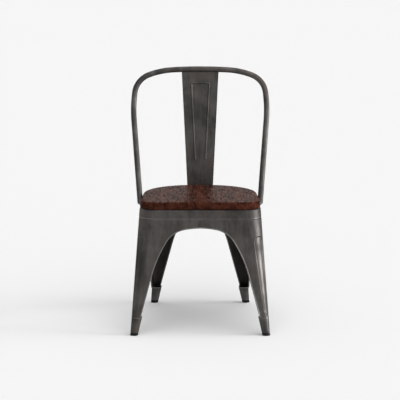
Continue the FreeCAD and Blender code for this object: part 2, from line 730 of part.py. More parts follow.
class SplatArc:
    """Side profile of the splat: a foot on the skirt and a blade bowed towards the sitter."""

    def __init__(self):
        foot_z = PAN_TOP - SPLAT_FOOT_HEIGHT
        self.foot = Vector(0, rear_face_y(foot_z), foot_z)
        self.base = Vector(0, rear_face_y(PAN_TOP), PAN_TOP)
        self.tip = Vector(0, HOOP_TOP_Y, BACK_HEIGHT - TUBE_RADIUS)
        chord = self.tip - self.base
        rise = math.sqrt(SPLAT_BOW_RADIUS ** 2 - (chord.Length / 2) ** 2)
        across = Vector(0, chord.z, -chord.y).normalize()
        self.centre = self.base + chord * 0.5 + across * rise

    def at(self, x, z, depth=0.0):
        """Point of the blade's front surface, moved back by a depth."""
        radius = SPLAT_BOW_RADIUS - depth
        return Vector(x, self.centre.y - math.sqrt(radius ** 2 - (z - self.centre.z) ** 2), z)

    def outward(self, point):
        """Direction from the blade towards the sitter."""
        return Vector(0, point.y - self.centre.y, point.z - self.centre.z).normalize()

    def half_width(self, z):
        share = (z - PAN_TOP) / (self.tip.z - PAN_TOP)
        return mix(SPLAT_BOTTOM_WIDTH, SPLAT_TOP_WIDTH, share) / 2


def bead_section(start, outward, along, radius, depth):
    """Cross-section of the bead: a disc with the part behind a depth cut off."""
    outward = (outward - along * outward.dot(along)).normalize()
    across = along.cross(outward)
    limit = math.acos(-depth / radius)
    turns = (-limit, 0.0, limit)
    points = [start + (outward * math.cos(a) + across * math.sin(a)) * radius for a in turns]
    return Part.Face(Part.Wire([Part.Arc(*points).toShape(), line_edge(points[2], points[0])]))


def bead_bars(arc, radius, depth):
    """Bars of the splat's bead: two legs and the crossbar that joins them."""
    sink = BEAD_RADIUS - BEAD_RISE
    leg_top = BEAD_TOP + BEAD_RADIUS
    middle_z = (leg_top + BEAD_BOTTOM) / 2
    middle_half = (BEAD_TOP_HALF + BEAD_BOTTOM_HALF) / 2
    spans = []
    for way in (-1, 1):
        foot = arc.at(way * BEAD_BOTTOM_HALF, BEAD_BOTTOM, sink)
        middle = arc.at(way * middle_half, middle_z, sink)
        top = arc.at(way * BEAD_TOP_HALF, leg_top, sink)
        spans.append((foot, middle, top, radius))
    corners = [arc.at(way * BEAD_TOP_HALF, BEAD_TOP, sink) for way in (-1, 1)]
    crown = arc.at(0, BEAD_TOP + BEAD_CROWN, sink)
    spans.append((corners[0], crown, corners[1], radius * BEAD_CROSS_SHARE))
    bars = []
    for start, middle, end, bar_radius in spans:
        edge = Part.Arc(start, middle, end).toShape()
        along = edge.tangentAt(edge.FirstParameter)
        section = bead_section(start, arc.outward(start), along, bar_radius, depth)
        sweep = math.degrees(edge.LastParameter - edge.FirstParameter)
        bars.append(section.revolve(edge.Curve.Center, edge.Curve.Axis, sweep))
    return bars


def offset_sheet(profile, depth):
    """Sheet of a side profile, as thick as the depth and on its +Y or -Y side."""
    section = profile.makeOffset2D(depth, 0, True, True)
    if (section.CenterOfMass.y - profile.CenterOfMass.y) * depth < 0:
        section = profile.makeOffset2D(-depth, 0, True, True)
    section.translate(Vector(-HUGE / 2, 0, 0))
    return section.extrude(Vector(HUGE, 0, 0))


def build_splat(hoop_outer):
    """Tapered sheet blade with a raised bead, welded to the skirt and under the hoop."""
    arc = SplatArc()
    middle = arc.at(0, (arc.base.z + arc.tip.z) / 2)
    blade = Part.Arc(arc.base, middle, arc.tip).toShape()
    sheet = offset_sheet(Part.Wire([line_edge(arc.foot, arc.base), blade]), SPLAT_THICKNESS)
    low = arc.foot.z - TUBE_DIAMETER
    high = arc.tip.z + TUBE_DIAMETER
    ends = ((-1, low), (1, low), (1, high), (-1, high))
    corners = [Vector(way * arc.half_width(z), 0, z) for way, z in ends]
    outline = Part.Face(Part.makePolygon(corners + corners[:1]))
    sheet = sheet.common(outline.extrude(Vector(0, HUGE, 0))).cut(hoop_outer)
    seated = SPLAT_THICKNESS / 2 - (BEAD_RADIUS - BEAD_RISE)
    for bar in bead_bars(arc, BEAD_RADIUS, seated):
        sheet = sheet.fuse(bar)
    inner = BEAD_RADIUS - BEAD_WALL
    for bar in bead_bars(arc, inner, inner * BEAD_GROOVE_SHARE):
        sheet = sheet.cut(bar)
    return sheet


def corner_point(corner, z, inset):
    """Middle of a rounded corner of the base, on the +X side."""
    centre, radius = corner_circles(z)[corner]
    way = -1 if corner == 0 else 1
    return centre + Vector(radius - inset, way * (radius - inset), 0) * math.sqrt(0.5)


def build_brace():
    """Two crossed straps under the pan, welded into the corners of the legs, and their pads."""
    straps = []
    pads = []
    for way, lift in ((-1, 0.0), (1, BRACE_THICKNESS)):
        z = BRACE_LEVEL + lift
        front = corner_point(0, z, LEG_WALL)
        rear = corner_point(1, z, LEG_WALL)
        front.x *= way
        rear.x *= -way
        along = (rear - front).normalize()
        across = UP.cross(along)
        start = front - along * BRACE_WIDTH - across * (BRACE_WIDTH / 2)
        length = (rear - front).Length + 2 * BRACE_WIDTH
        corners = [start, start + along * length, start + along * length + across * BRACE_WIDTH,
                   start + across * BRACE_WIDTH, start]
        strap = Part.Face(Part.makePolygon(corners)).extrude(UP * BRACE_THICKNESS)
        strap = strap.common(base_loft([(KNEE_HEIGHT, LEG_WALL), (SKIRT_BOTTOM, LEG_WALL)]))
        crossing = front + along * (-front.x / along.x)
        for step in (-PAD_SPACING / 2, PAD_SPACING / 2):
            place = crossing + along * step
            strap = strap.cut(rod(place, z, PAD_STEM_RADIUS, BRACE_THICKNESS))
            button = rod(place, z - PAD_HEIGHT, PAD_RADIUS, PAD_HEIGHT)
            button = button.makeChamfer(PAD_EDGE, edges_at(button, z - PAD_HEIGHT))
            stem = rod(place, z, PAD_STEM_RADIUS, BRACE_THICKNESS)
            barb = rod(place, z + BRACE_THICKNESS, PAD_STEM_RADIUS + PAD_BARB, PAD_BARB)
            pads.append(button.fuse([stem, barb]))
        straps.append(strap)
    return straps, Part.makeCompound(pads)


def save(name, shape):
    shape.exportStep("parts/" + name + ".step")


def main():
    os.makedirs("parts", exist_ok=True)
    legs = build_legs()
    across = Vector(1, 0, 0)
    origin = Vector(0, 0, 0)
    for leg, name in zip(legs, ("front", "rear")):
        save(name + "_right_leg", leg)
        save(name + "_left_leg", leg.mirror(origin, across))
    save("seat_pan", build_pan())
    for number, stave in enumerate(build_staves(), 1):
        save("seat_stave_%d" % number, stave)
    tube, plugs, outer = build_hoop()
    save("back_hoop", tube)
    for plug, name in zip(plugs, ("left", "right")):
        save("hoop_plug_" + name, plug)
    save("back_splat", build_splat(outer))
    straps, pads = build_brace()
    for strap, name in zip(straps, ("lower", "upper")):
        save("brace_strap_" + name, strap)
    save("brace_pads", pads)
    bolts, washers, inserts = build_fixings()
    save("seat_bolts", bolts)
    save("seat_washers", washers)
    save("seat_inserts", inserts)
    for corner, name in ((0, "front"), (1, "rear")):
        foot = build_rubber_foot(corner)
        save(name + "_right_foot", foot)
        save(name + "_left_foot", foot.mirror(origin, across))


main()
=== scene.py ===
import math

import bmesh
import bpy
import numpy as np
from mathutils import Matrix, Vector


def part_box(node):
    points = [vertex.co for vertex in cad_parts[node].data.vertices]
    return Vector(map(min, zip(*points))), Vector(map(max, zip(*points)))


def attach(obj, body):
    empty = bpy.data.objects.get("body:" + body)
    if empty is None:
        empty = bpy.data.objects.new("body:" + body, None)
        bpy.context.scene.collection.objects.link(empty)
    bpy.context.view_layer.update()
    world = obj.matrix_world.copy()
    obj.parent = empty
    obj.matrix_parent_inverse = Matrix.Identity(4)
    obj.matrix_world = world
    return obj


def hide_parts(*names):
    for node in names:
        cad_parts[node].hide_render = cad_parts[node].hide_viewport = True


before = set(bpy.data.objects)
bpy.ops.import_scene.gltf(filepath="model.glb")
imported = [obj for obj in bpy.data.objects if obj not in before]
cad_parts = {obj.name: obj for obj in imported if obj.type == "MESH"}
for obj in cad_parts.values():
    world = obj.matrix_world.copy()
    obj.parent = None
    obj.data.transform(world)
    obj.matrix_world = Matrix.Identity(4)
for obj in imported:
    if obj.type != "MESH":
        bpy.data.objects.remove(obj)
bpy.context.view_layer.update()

bl_info = {
    "name": "Metal Bistro Chair",
    "version": (1, 0, 0),
    "blender": (4, 5, 0),
    "location": "View3D > Sidebar > Bistro Chair",
    "description": "Dresses the frame of a metal bistro chair: legs, hoop, splat and wooden board",
    "category": "Add Mesh",
}

PAN_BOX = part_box("seat_pan")
BOARD_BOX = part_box("seat_stave_2")
HOOP_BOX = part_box("back_hoop")


# Sizes and colours that a user would change

def length(name, value, text):
    """Property that holds a length in metres."""
    return bpy.props.FloatProperty(name=name, description=text, default=value, min=0.0, precision=4,
                                   unit="LENGTH", subtype="DISTANCE")


def turn(name, degrees, text):
    """Property that holds an angle."""
    return bpy.props.FloatProperty(name=name, description=text, default=math.radians(degrees),
                                   unit="ROTATION", subtype="ANGLE")


def colour(name, value, text):
    """Property that holds a linear colour."""
    return bpy.props.FloatVectorProperty(name=name, description=text, default=value, size=3,
                                         min=0.0, max=1.0, subtype="COLOR")


def factor(name, value, text):
    """Property that holds a plain number."""
    return bpy.props.FloatProperty(name=name, description=text, default=value, min=0.0)


class ChairBaseSizes(bpy.types.PropertyGroup):
    """Sizes of the pressed base: legs, arches, flutes and pan."""
    foot_reach: length("Foot reach", 0.267, "From the middle of the chair to the front and rear of the feet")
    front_feet_width: length("Front feet width", 0.4634, "Overall width of the front feet")
    rear_feet_width: length("Rear feet width", 0.3488, "Overall width of the rear feet")
    pan_front: length("Pan front", 0.214, "From the middle of the chair to the front of the pan")
    pan_rear: length("Pan rear", 0.150, "From the middle of the chair to the rear of the pan")
    pan_front_width: length("Pan front width", 0.4022, "Width of the pan at its front")
    pan_rear_width: length("Pan rear width", 0.386, "Width of the pan at its rear")
    pan_front_radius: length("Pan front radius", 0.055, "Corner radius of the pan at its front")
    pan_rear_radius: length("Pan rear radius", 0.160, "Corner radius of the pan at its rear")
    pan_edge: length("Pan edge", 0.006, "Radius of the pan's upper edge")
    skirt_height: length("Skirt height", 0.032, "Height of the pan's skirt")
    sheet: length("Sheet", 0.0015, "Thickness of the sheet metal")
    tuck: length("Tuck", 0.0018, "How far the legs step in behind the skirt")
    knee_height: length("Knee height", 0.060, "Level where a leg closes into a tube")
    knee_radius: length("Knee radius", 0.0174, "Radius of the leg where it closes")
    sleeve_radius: length("Sleeve radius", 0.0125, "Radius of the leg at the floor")
    rear_knee_width: length("Rear knee width", 0.341, "Width over the rear legs where they close")
    hem_radius: length("Hem radius", 0.0021, "Radius of the rolled hem along the arches")
    notch_rise: length("Notch rise", 0.005, "From the knee up to the end of the hem")
    flute_top: length("Flute top", 0.326, "Upper end of the flute in each leg")
    flute_tip: length("Flute tip", 0.068, "Lower end of the flute")
    flute_taper: length("Flute taper", 0.086, "Level where the flute's tip starts")
    flute_half_top: length("Flute half width", 0.0205, "Half of the flute's width at its top")
    flute_half_low: length("Flute half width below", 0.0098, "Half of the flute's width above its tip")
    flute_depth: length("Flute depth", 0.003, "How deep the flute is pressed")
    foot_height: length("Foot height", 0.009, "Height of the rubber foot")
    foot_radius: length("Foot radius", 0.0132, "Radius of the rubber foot")


class ChairArchSizes(bpy.types.PropertyGroup):
    """Sizes of the arches between the legs."""
    flank: length("Flank radius", 0.420, "Radius of each arch's long flank")
    front_apex: length("Front apex", 0.3553, "Height of the front arch")
    front_notch: length("Front notch", 0.1975, "Half width of the front arch at the notch")
    front_angle: turn("Front angle", 15.0, "Slope of the front arch's edge from upright")
    front_radius: length("Front radius", 0.260, "Radius at the front arch's top")
    front_shoulder: length("Front shoulder", 0.088, "Radius at the front arch's shoulder")
    front_blend: turn("Front blend", 58.0, "Where the front arch's shoulder ends")
    rear_apex: length("Rear apex", 0.350, "Height of the rear arch")
    rear_notch: length("Rear notch", 0.1405, "Half width of the rear arch at the notch")
    rear_angle: turn("Rear angle", 14.3, "Slope of the rear arch's edge from upright")
    rear_radius: length("Rear radius", 0.150, "Radius at the rear arch's top")
    rear_shoulder: length("Rear shoulder", 0.055, "Radius at the rear arch's shoulder")
    rear_blend: turn("Rear blend", 60.0, "Where the rear arch's shoulder ends")
    side_apex: length("Side apex", 0.350, "Height of the side arches")
    side_radius: length("Side radius", 0.320, "Radius at the side arches' top")
    side_shoulder: length("Side shoulder", 0.095, "Radius at the side arches' shoulder")
    side_front_notch: length("Side front notch", 0.229, "From the middle to the front leg's notch")
    side_front_angle: turn("Side front angle", 18.0, "Slope of the edge at the front leg")
    side_front_blend: turn("Side front blend", 55.0, "Where the shoulder ends at the front leg")
    side_rear_notch: length("Side rear notch", 0.219, "From the middle to the rear leg's notch")
    side_rear_angle: turn("Side rear angle", 25.0, "Slope of the edge at the rear leg")
    side_rear_blend: turn("Side rear blend", 52.0, "Where the shoulder ends at the rear leg")


class ChairBackSizes(bpy.types.PropertyGroup):
    """Sizes of the hoop and the splat."""
    tube_radius: length("Tube radius", 0.0095, "Radius of the hoop's tube")
    half_width: length("Hoop half width", 0.2285, "Half of the hoop's width on its centre line")
    top_y: length("Hoop top", 0.203, "How far back the hoop's top is")
    foot_y: bpy.props.FloatProperty(name="Hoop foot", description="Where the hoop's feet are, front to back",
                                    default=-0.022, unit="LENGTH", subtype="DISTANCE")
    foot_drop: length("Foot drop", 0.015, "From the pan's top down to the hoop's foot")
    weld_bite: length("Weld bite", 0.0004, "How far the tube is let into the skirt")
    top_radius: length("Top radius", 1.520, "Radius of the hoop's top")
    upper_radius: length("Upper radius", 0.256, "Radius beside the hoop's top")
    shoulder_radius: length("Shoulder radius", 0.078, "Radius of the hoop's shoulder")
    side_radius: length("Side radius", 0.518, "Radius of the hoop's side")
    upper_turn: turn("Upper turn", 22.0, "Direction where the shoulder starts")
    shoulder_turn: turn("Shoulder turn", 83.2, "Direction where the shoulder ends")
    end_slant: turn("End slant", 26.0, "Slant of the cut at the tube's ends")
    splat_sheet: length("Splat sheet", 0.0018, "Thickness of the splat")
    splat_top_width: length("Splat top width", 0.128, "Width of the splat at the hoop")
    splat_low_width: length("Splat low width", 0.087, "Width of the splat at the seat")
    splat_bow: length("Splat bow", 2.700, "Radius of the splat's bow towards the sitter")
    splat_foot: length("Splat foot", 0.026, "Height of the splat's foot on the skirt")
    bead_radius: length("Bead radius", 0.0032, "Radius of the raised bead")
    bead_rise: length("Bead rise", 0.0025, "How far the bead stands out")
    bead_top: length("Bead top", 0.786, "Level of the bead's upper corners")
    bead_low: length("Bead low", 0.528, "Level of the bead's feet")
    bead_half_top: length("Bead half width", 0.031, "Half of the bead's width at its top")
    bead_half_low: length("Bead half width below", 0.0178, "Half of the bead's width at its feet")
    bead_crown: length("Bead crown", 0.003, "Rise of the bead's crossbar")


class ChairBoardSizes(bpy.types.PropertyGroup):
    """Sizes of the wooden board."""
    front: length("Board front", 0.219, "From the middle of the chair to the board's front")
    rear: length("Board rear", 0.147, "From the middle of the chair to the board's rear")
    front_width: length("Front width", 0.400, "Width of the board at its front")
    rear_width: length("Rear width", 0.384, "Width of the board at its rear")
    front_radius: length("Front radius", 0.050, "Corner radius at the front")
    rear_radius: length("Rear radius", 0.168, "Corner radius at the rear")
    back_radius: length("Back radius", 0.460, "Radius of the bowed rear edge")
    top_round: length("Top round", 0.007, "Rounding of the upper edge")
    low_round: length("Low round", 0.0045, "Rounding of the lower edge")
    joint_gap: length("Joint groove", 0.0003, "Half width of the groove at a glued joint")


class ChairFinish(bpy.types.PropertyGroup):
    """Colours of the finishes."""
    steel_dark: colour("Steel, dark", (0.050, 0.047, 0.045), "Darker tone of the bare lacquered steel")
    steel_light: colour("Steel, light", (0.108, 0.101, 0.096), "Lighter tone of the bare lacquered steel")
    steel_brown: colour("Steel, brown", (0.098, 0.078, 0.066), "Brownish tone of the heat marks")
    # Lighter tone on convex edges: partly rubbed wear, partly painted highlight
    steel_wear_and_sheen: colour("Steel, worn", (0.42, 0.40, 0.39), "Rubbed edges of the steel")
    wood_dark: colour("Wood, dark", (0.012, 0.0042, 0.0030), "Late wood and pores")
    wood_light: colour("Wood, light", (0.080, 0.0250, 0.0150), "Early wood")
    rubber: colour("Rubber", (0.008, 0.008, 0.008), "Feet, pads and plugs")
    zinc: colour("Zinc", (0.50, 0.50, 0.48), "Bolts and washers")
    # Pale flecks on the board's top: partly wear, partly painted reflection of the backdrop
    wood_wear_and_sheen: colour("Wood, worn", (0.165, 0.078, 0.055), "Pale flecks on top of the board")
    brass: colour("Brass", (0.62, 0.45, 0.20), "Threaded inserts")


class ChairStage(bpy.types.PropertyGroup):
    """The stage: camera, floor and light."""
    aim_height: length("Aim height", 0.411, "Level that the camera looks at")
    distance: length("Distance", 7.430, "From the camera to the chair")
    elevation: turn("Elevation", 9.8, "How far the camera stands above the horizon")
    lens: bpy.props.FloatProperty(name="Lens", default=196.74, unit="CAMERA",
                                  description="Focal length for a sensor 36 mm wide")
    shift: bpy.props.FloatProperty(name="Shift", description="Sideways shift of the picture", default=-0.0004)
    backdrop: factor("Backdrop", 0.922, "Brightness of the pale backdrop as the camera sees it")
    fill: factor("Fill", 0.34, "Strength of the light from all round")
    key: factor("Key", 3.20, "Strength of the low key light from the right")
    top: factor("Top", 0.40, "Strength of the light from above")
    front: factor("Front", 1.40, "Strength of the soft light from the front")


# The outline of the base, which tapers from the feet to the pan

FRONT = 0
REAR = 1


def mix(a, b, share):
    return a + (b - a) * share


class Outline:
    """Rounded outline of the base on the right-hand side, for any level."""

    def __init__(self, sizes):
        self.s = sizes
        self.pan_top = PAN_BOX[1].z

    def circle(self, corner, z):
        """Centre and radius of a corner's circle at the given levels."""
        s = self.s
        z = np.asarray(z, float)
        rise = z / self.pan_top
        low = np.clip(z / s.knee_height, 0, 1)
        high = np.clip((z - s.knee_height) / (self.pan_top - s.knee_height), 0, None)
        below = z < s.knee_height
        end_radius = s.pan_front_radius if corner == FRONT else s.pan_rear_radius
        sleeve = mix(s.sleeve_radius, s.knee_radius, low)
        radius = np.where(below, sleeve, mix(s.knee_radius, end_radius, high))
        if corner == FRONT:
            x = mix(s.front_feet_width, s.pan_front_width, rise) / 2
            y = -mix(s.foot_reach, s.pan_front, rise) + radius
        else:
            upper = mix(s.rear_knee_width, s.pan_rear_width, high)
            x = np.where(below, mix(s.rear_feet_width, s.rear_knee_width, low), upper) / 2
            y = mix(s.foot_reach, s.pan_rear, rise) - radius
        return x - radius, y, radius

    def side_turn(self, z):
        """Direction of the side face's outward normal."""
        fx, fy, fr = self.circle(FRONT, z)
        rx, ry, rr = self.circle(REAR, z)
        gap = np.hypot(rx - fx, ry - fy)
        return np.arctan2(ry - fy, rx - fx) - np.arccos((fr - rr) / gap)

    def point(self, corner, z, q, inset=0.0):
        """Points at levels z and places q: 0 to 1 on the face, to 2 round the corner, to 3 on the side."""
        z, q = np.broadcast_arrays(np.asarray(z, float), np.asarray(q, float))
        cx, cy, radius = self.circle(corner, z)
        radius = radius - inset
        way = -1.0 if corner == FRONT else 1.0
        side = self.side_turn(z)
        start = way * math.pi / 2
        angle = start + (side - start) * np.clip(q - 1, 0, 1)
        x = np.where(q < 1, cx * q, cx + radius * np.cos(angle))
        y = np.where(q < 1, cy + way * radius, cy + radius * np.sin(angle))
        fx, fy, fr = self.circle(FRONT, z)
        rx, ry, rr = self.circle(REAR, z)
        ax, ay = fx + (fr - inset) * np.cos(side), fy + (fr - inset) * np.sin(side)
        bx, by = rx + (rr - inset) * np.cos(side), ry + (rr - inset) * np.sin(side)
        share = -ay / (by - ay)
        mx, my = mix(ax, bx, share), mix(ay, by, share)
        t = np.clip(q - 2, 0, 1)
        tx, ty = (ax, ay) if corner == FRONT else (bx, by)
        x = np.where(q > 2, mix(tx, mx, t), x)
        y = np.where(q > 2, mix(ty, my, t), y)
        return np.stack([x, y, z], -1)

    def normal(self, corner, z, q):
        """Level outward normals at the same places."""
        z, q = np.broadcast_arrays(np.asarray(z, float), np.asarray(q, float))
        way = -1.0 if corner == FRONT else 1.0
        start = way * math.pi / 2
        angle = start + (self.side_turn(z) - start) * np.clip(q - 1, 0, 1)
        return np.stack([np.cos(angle), np.sin(angle), np.zeros_like(angle)], -1)

    def place_of(self, corner, points):
        """Places q of points on the side or round the corner."""
        z = points[:, 2]
        way = -1.0 if corner == FRONT else 1.0
        cx, cy, _ = self.circle(corner, z)
        side = self.side_turn(z)
        tangent = self.point(corner, z, 2.0)
        middle = self.point(corner, z, 3.0)
        start = way * math.pi / 2
        angle = np.arctan2(points[:, 1] - cy, points[:, 0] - cx)
        on_arc = 1 + (angle - start) / (side - start)
        on_side = 2 + (points[:, 1] - tangent[:, 1]) / (middle[:, 1] - tangent[:, 1])
        return np.where(way * (points[:, 1] - tangent[:, 1]) > 0, on_arc, on_side)

    def side_x(self, corner, y, z):
        """How far out the base's surface is at a depth and a level."""
        way = -1.0 if corner == FRONT else 1.0
        cx, cy, radius = self.circle(corner, z)
        tangent = self.point(corner, z, 2.0)
        middle = self.point(corner, z, 3.0)
        share = (y - tangent[..., 1]) / (middle[..., 1] - tangent[..., 1])
        flat = mix(tangent[..., 0], middle[..., 0], share)
        round_x = cx + np.sqrt(np.clip(radius ** 2 - (y - cy) ** 2, 0, None))
        return np.where(way * (y - tangent[..., 1]) > 0, round_x, flat)

    def corner_line(self, corner, z):
        """Middle of the rounded corner at each level."""
        cx, cy, radius = self.circle(corner, z)
        way = -1.0 if corner == FRONT else 1.0
        half = math.sqrt(0.5)
        return np.stack([cx + radius * half, cy + way * radius * half, np.asarray(z, float)], -1)


# Arches between the legs

ARC_STEPS = 40
SLIDE_STEPS = 12


class Arch:
    """Half an arch as points of a flat drawing: u outwards from the seam, w down from the apex."""

    def __init__(self, flank, apex, notch, angle, radius, shoulder, blend):
        self.apex = apex
        self.notch = notch
        self.angle = math.pi / 2 - angle
        self.radii = (radius, shoulder, flank)
        self.blend = blend

    def points(self, drop, count):
        """Evenly spaced points from the apex to the notch, which lies a drop below."""
        top, shoulder, flank = self.radii
        angle, blend = self.angle, self.blend
        reach = self.notch * math.sin(angle) - drop * math.cos(angle) + top * math.cos(angle)
        reach -= (shoulder - flank) * math.cos(angle - blend) + flank
        first = angle - math.acos(reach / (top - shoulder))
        u, w = 0.0, top
        last = top
        run = []
        for radius, start, end in ((top, 0.0, first), (shoulder, first, blend), (flank, blend, angle)):
            u += (last - radius) * math.sin(start)
            w -= (last - radius) * math.cos(start)
            for a in np.linspace(start, end, ARC_STEPS):
                run.append((u + radius * math.sin(a), w - radius * math.cos(a)))
            last = radius
        run.append((self.notch, drop))
        run = np.array(run)
        steps = np.concatenate([[0], np.cumsum(np.hypot(*np.diff(run, axis=0).T))])
        even = np.linspace(0, steps[-1], count)
        return np.stack([np.interp(even, steps, run[:, 0]), np.interp(even, steps, run[:, 1])], -1)


def face_edge(outline, corner, arch, count):
    """The arch's edge on the front or rear face, as levels and places."""
    s = outline.s
    reach = s.pan_front if corner == FRONT else s.pan_rear
    slope = (s.foot_reach - reach) / outline.pan_top
    fall = 1 / math.hypot(1, slope)
    low = s.knee_height + s.notch_rise
    flat = arch.points((arch.apex - low) / fall, count)
    z = arch.apex - flat[:, 1] * fall
    cx, _, radius = outline.circle(corner, z)
    over = np.clip(flat[:, 0] - cx, 0, None)
    side = outline.side_turn(z)
    start = math.pi / 2 * (-1 if corner == FRONT else 1)
    round_q = 1 + np.arcsin(np.clip(over / radius, 0, 1)) / np.abs(side - start)
    q = np.where(over > 0, round_q, flat[:, 0] / cx)
    return z, q


def side_edge(outline, corner, arch, count):
    """The arch's edge on the side face, found by laying its flat drawing on the curved surface."""
    s = outline.s
    way = -1.0 if corner == FRONT else 1.0
    low_z = s.knee_height + s.notch_rise
    shoulder_z = mix(arch.apex, low_z, 0.35)

    def on_side(y, z):
        return np.array([float(outline.side_x(corner, y, z)), y, z])

    apex = on_side(0.0, arch.apex)
    low = on_side(way * arch.notch, low_z)
    shoulder = on_side(way * arch.notch * 0.7, shoulder_z)
    face = np.cross(low - apex, shoulder - apex)
    across = np.cross(face, (0, 0, 1.0))
    across *= np.sign(across[1] * way) / np.linalg.norm(across)
    normal = np.cross(across, low - apex)
    normal /= np.linalg.norm(normal)
    down = np.cross(normal, across)
    down *= -np.sign(down[2])
    drop = (arch.apex - low_z) / -down[2]
    flat = arch.points(drop, count)
    start = apex + flat[:, :1] * across + flat[:, 1:] * down
    slide = np.zeros(len(start))
    for _ in range(SLIDE_STEPS):
        at = start + slide[:, None] * normal
        slide += (outline.side_x(corner, at[:, 1], at[:, 2]) - at[:, 0]) / normal[0]
    at = start + slide[:, None] * normal
    return at[:, 2], outline.place_of(corner, at)


def arches_of(sizes, corner):
    """The face arch and the side arch of a leg."""
    if corner == FRONT:
        face = Arch(sizes.flank, sizes.front_apex, sizes.front_notch, sizes.front_angle,
                    sizes.front_radius, sizes.front_shoulder, sizes.front_blend)
        side = Arch(sizes.flank, sizes.side_apex, sizes.side_front_notch, sizes.side_front_angle,
                    sizes.side_radius, sizes.side_shoulder, sizes.side_front_blend)
    else:
        face = Arch(sizes.flank, sizes.rear_apex, sizes.rear_notch, sizes.rear_angle,
                    sizes.rear_radius, sizes.rear_shoulder, sizes.rear_blend)
        side = Arch(sizes.flank, sizes.side_apex, sizes.side_rear_notch, sizes.side_rear_angle,
                    sizes.side_radius, sizes.side_shoulder, sizes.side_rear_blend)
    return face, side


# Mesh helpers

MERGE_DISTANCE = 1e-6
SHARP_ANGLE = math.radians(40)


def shade(mesh):
    """Smooth faces, with sharp edges where they meet at a steep angle."""
    for polygon in mesh.polygons:
        polygon.use_smooth = True
    mesh.set_sharp_from_angle(angle=SHARP_ANGLE)


def all_of(work):
    return work.verts[:] + work.edges[:] + work.faces[:]


class MeshParts:
    """Collects points and faces, then makes one object."""

    def __init__(self):
        self.points = []
        self.faces = []
        self.sides = []

    def add(self, points, faces, side=0):
        base = len(self.points)
        self.points.extend(tuple(p) for p in points)
        self.faces.extend(tuple(base + i for i in face) for face in faces)
        self.sides.extend([side] * len(faces))

    def add_grid(self, grid, closed=False, flip=False, side=0):
        """Quads over rows and columns of points. A closed grid joins its last column to its first."""
        rows, columns = grid.shape[:2]
        faces = []
        last = columns if closed else columns - 1
        for r in range(rows - 1):
            for c in range(last):
                d = (c + 1) % columns
                quad = (r * columns + c, r * columns + d, (r + 1) * columns + d, (r + 1) * columns + c)
                faces.append(quad[::-1] if flip else quad)
        self.add(grid.reshape(-1, 3), faces, side)

    def add_cap(self, ring, flip=False, side=0):
        face = tuple(range(len(ring)))
        self.add(ring, [face[::-1] if flip else face], side)

    def make(self, name):
        mesh = bpy.data.meshes.new(name)
        mesh.from_pydata(self.points, [], self.faces)
        mesh.polygons.foreach_set("material_index", self.sides)
        work = bmesh.new()
        work.from_mesh(mesh)
        bmesh.ops.remove_doubles(work, verts=work.verts, dist=MERGE_DISTANCE)
        bmesh.ops.dissolve_degenerate(work, edges=work.edges, dist=MERGE_DISTANCE)
        work.to_mesh(mesh)
        work.free()
        shade(mesh)
        obj = bpy.data.objects.new(name, mesh)
        bpy.context.scene.collection.objects.link(obj)
        return obj


def mirrored(grid):
    return grid * np.array([-1.0, 1.0, 1.0])


def frames_along(path):
    """Two directions square to a path at each of its points, turned as little as possible."""
    tangents = np.gradient(path, axis=0)
    tangents /= np.linalg.norm(tangents, axis=1)[:, None]
    helper = np.array([0, 0, 1.0]) if abs(tangents[0][2]) < 0.9 else np.array([1.0, 0, 0])
    first = np.cross(tangents[0], helper)
    first /= np.linalg.norm(first)
    firsts = [first]
    for t in tangents[1:]:
        first = first - t * first.dot(t)
        first = first / np.linalg.norm(first)
        firsts.append(first)
    firsts = np.array(firsts)
    return firsts, np.cross(tangents, firsts), tangents


def tube_grid(path, radius, sides):
    """Round tube along a path. The radius may be one number or one for each point."""
    a, b, _ = frames_along(path)
    turns = np.linspace(0, 2 * math.pi, sides, endpoint=False)
    radii = np.broadcast_to(radius, (len(path),))[:, None, None]
    ring = np.cos(turns)[None, :, None] * a[:, None] + np.sin(turns)[None, :, None] * b[:, None]
    return path[:, None] + radii * ring


def rounded_tube(parts, path, radius, sides, side=0):
    """Adds a round tube with domed ends."""
    _, _, tangents = frames_along(path)
    dome = np.linspace(0, math.pi / 2, 4)[1:]
    start = [path[0] - tangents[0] * radius * math.sin(a) for a in dome][::-1]
    end = [path[-1] + tangents[-1] * radius * math.sin(a) for a in dome]
    shrink = np.cos(dome) * radius
    full = np.concatenate([start, path, end])
    radii = np.concatenate([shrink[::-1], np.full(len(path), radius), shrink])
    radii = np.maximum(radii, radius * 0.05)
    grid = tube_grid(full, radii, sides)
    parts.add_grid(grid, closed=True, side=side)
    parts.add_cap(grid[0], side=side)
    parts.add_cap(grid[-1], flip=True, side=side)


# Finishes

def nodes_of(material):
    material.use_nodes = True
    tree = material.node_tree
    return tree, tree.nodes["Principled BSDF"]


def add_node(tree, kind, inputs=None, **settings):
    """Adds a node, sets its options and fills or links its inputs."""
    node = tree.nodes.new(kind)
    for key, value in settings.items():
        setattr(node, key, value)
    for key, value in (inputs or {}).items():
        if isinstance(value, bpy.types.NodeSocket):
            tree.links.new(value, node.inputs[key])
        else:
            node.inputs[key].default_value = value
    return node


def place(tree, scale=(1, 1, 1), turned=(0, 0, 0), shifted=(0, 0, 0)):
    """Object coordinates, scaled, turned and shifted."""
    source = add_node(tree, "ShaderNodeTexCoord").outputs["Object"]
    return add_node(tree, "ShaderNodeMapping", {"Vector": source, "Scale": scale, "Rotation": turned,
                                                "Location": shifted}).outputs["Vector"]


def noise(tree, where, scale, detail=3.0, rough=0.5, bend=0.0):
    return add_node(tree, "ShaderNodeTexNoise", {"Vector": where, "Scale": scale, "Detail": detail,
                                                 "Roughness": rough, "Distortion": bend}).outputs["Fac"]


def spread(tree, value, low, high, to_low=0.0, to_high=1.0):
    """Maps a range of a value smoothly onto another."""
    return add_node(tree, "ShaderNodeMapRange", {"Value": value, "From Min": low, "From Max": high,
                                                 "To Min": to_low, "To Max": to_high},
                    interpolation_type="SMOOTHSTEP").outputs["Result"]


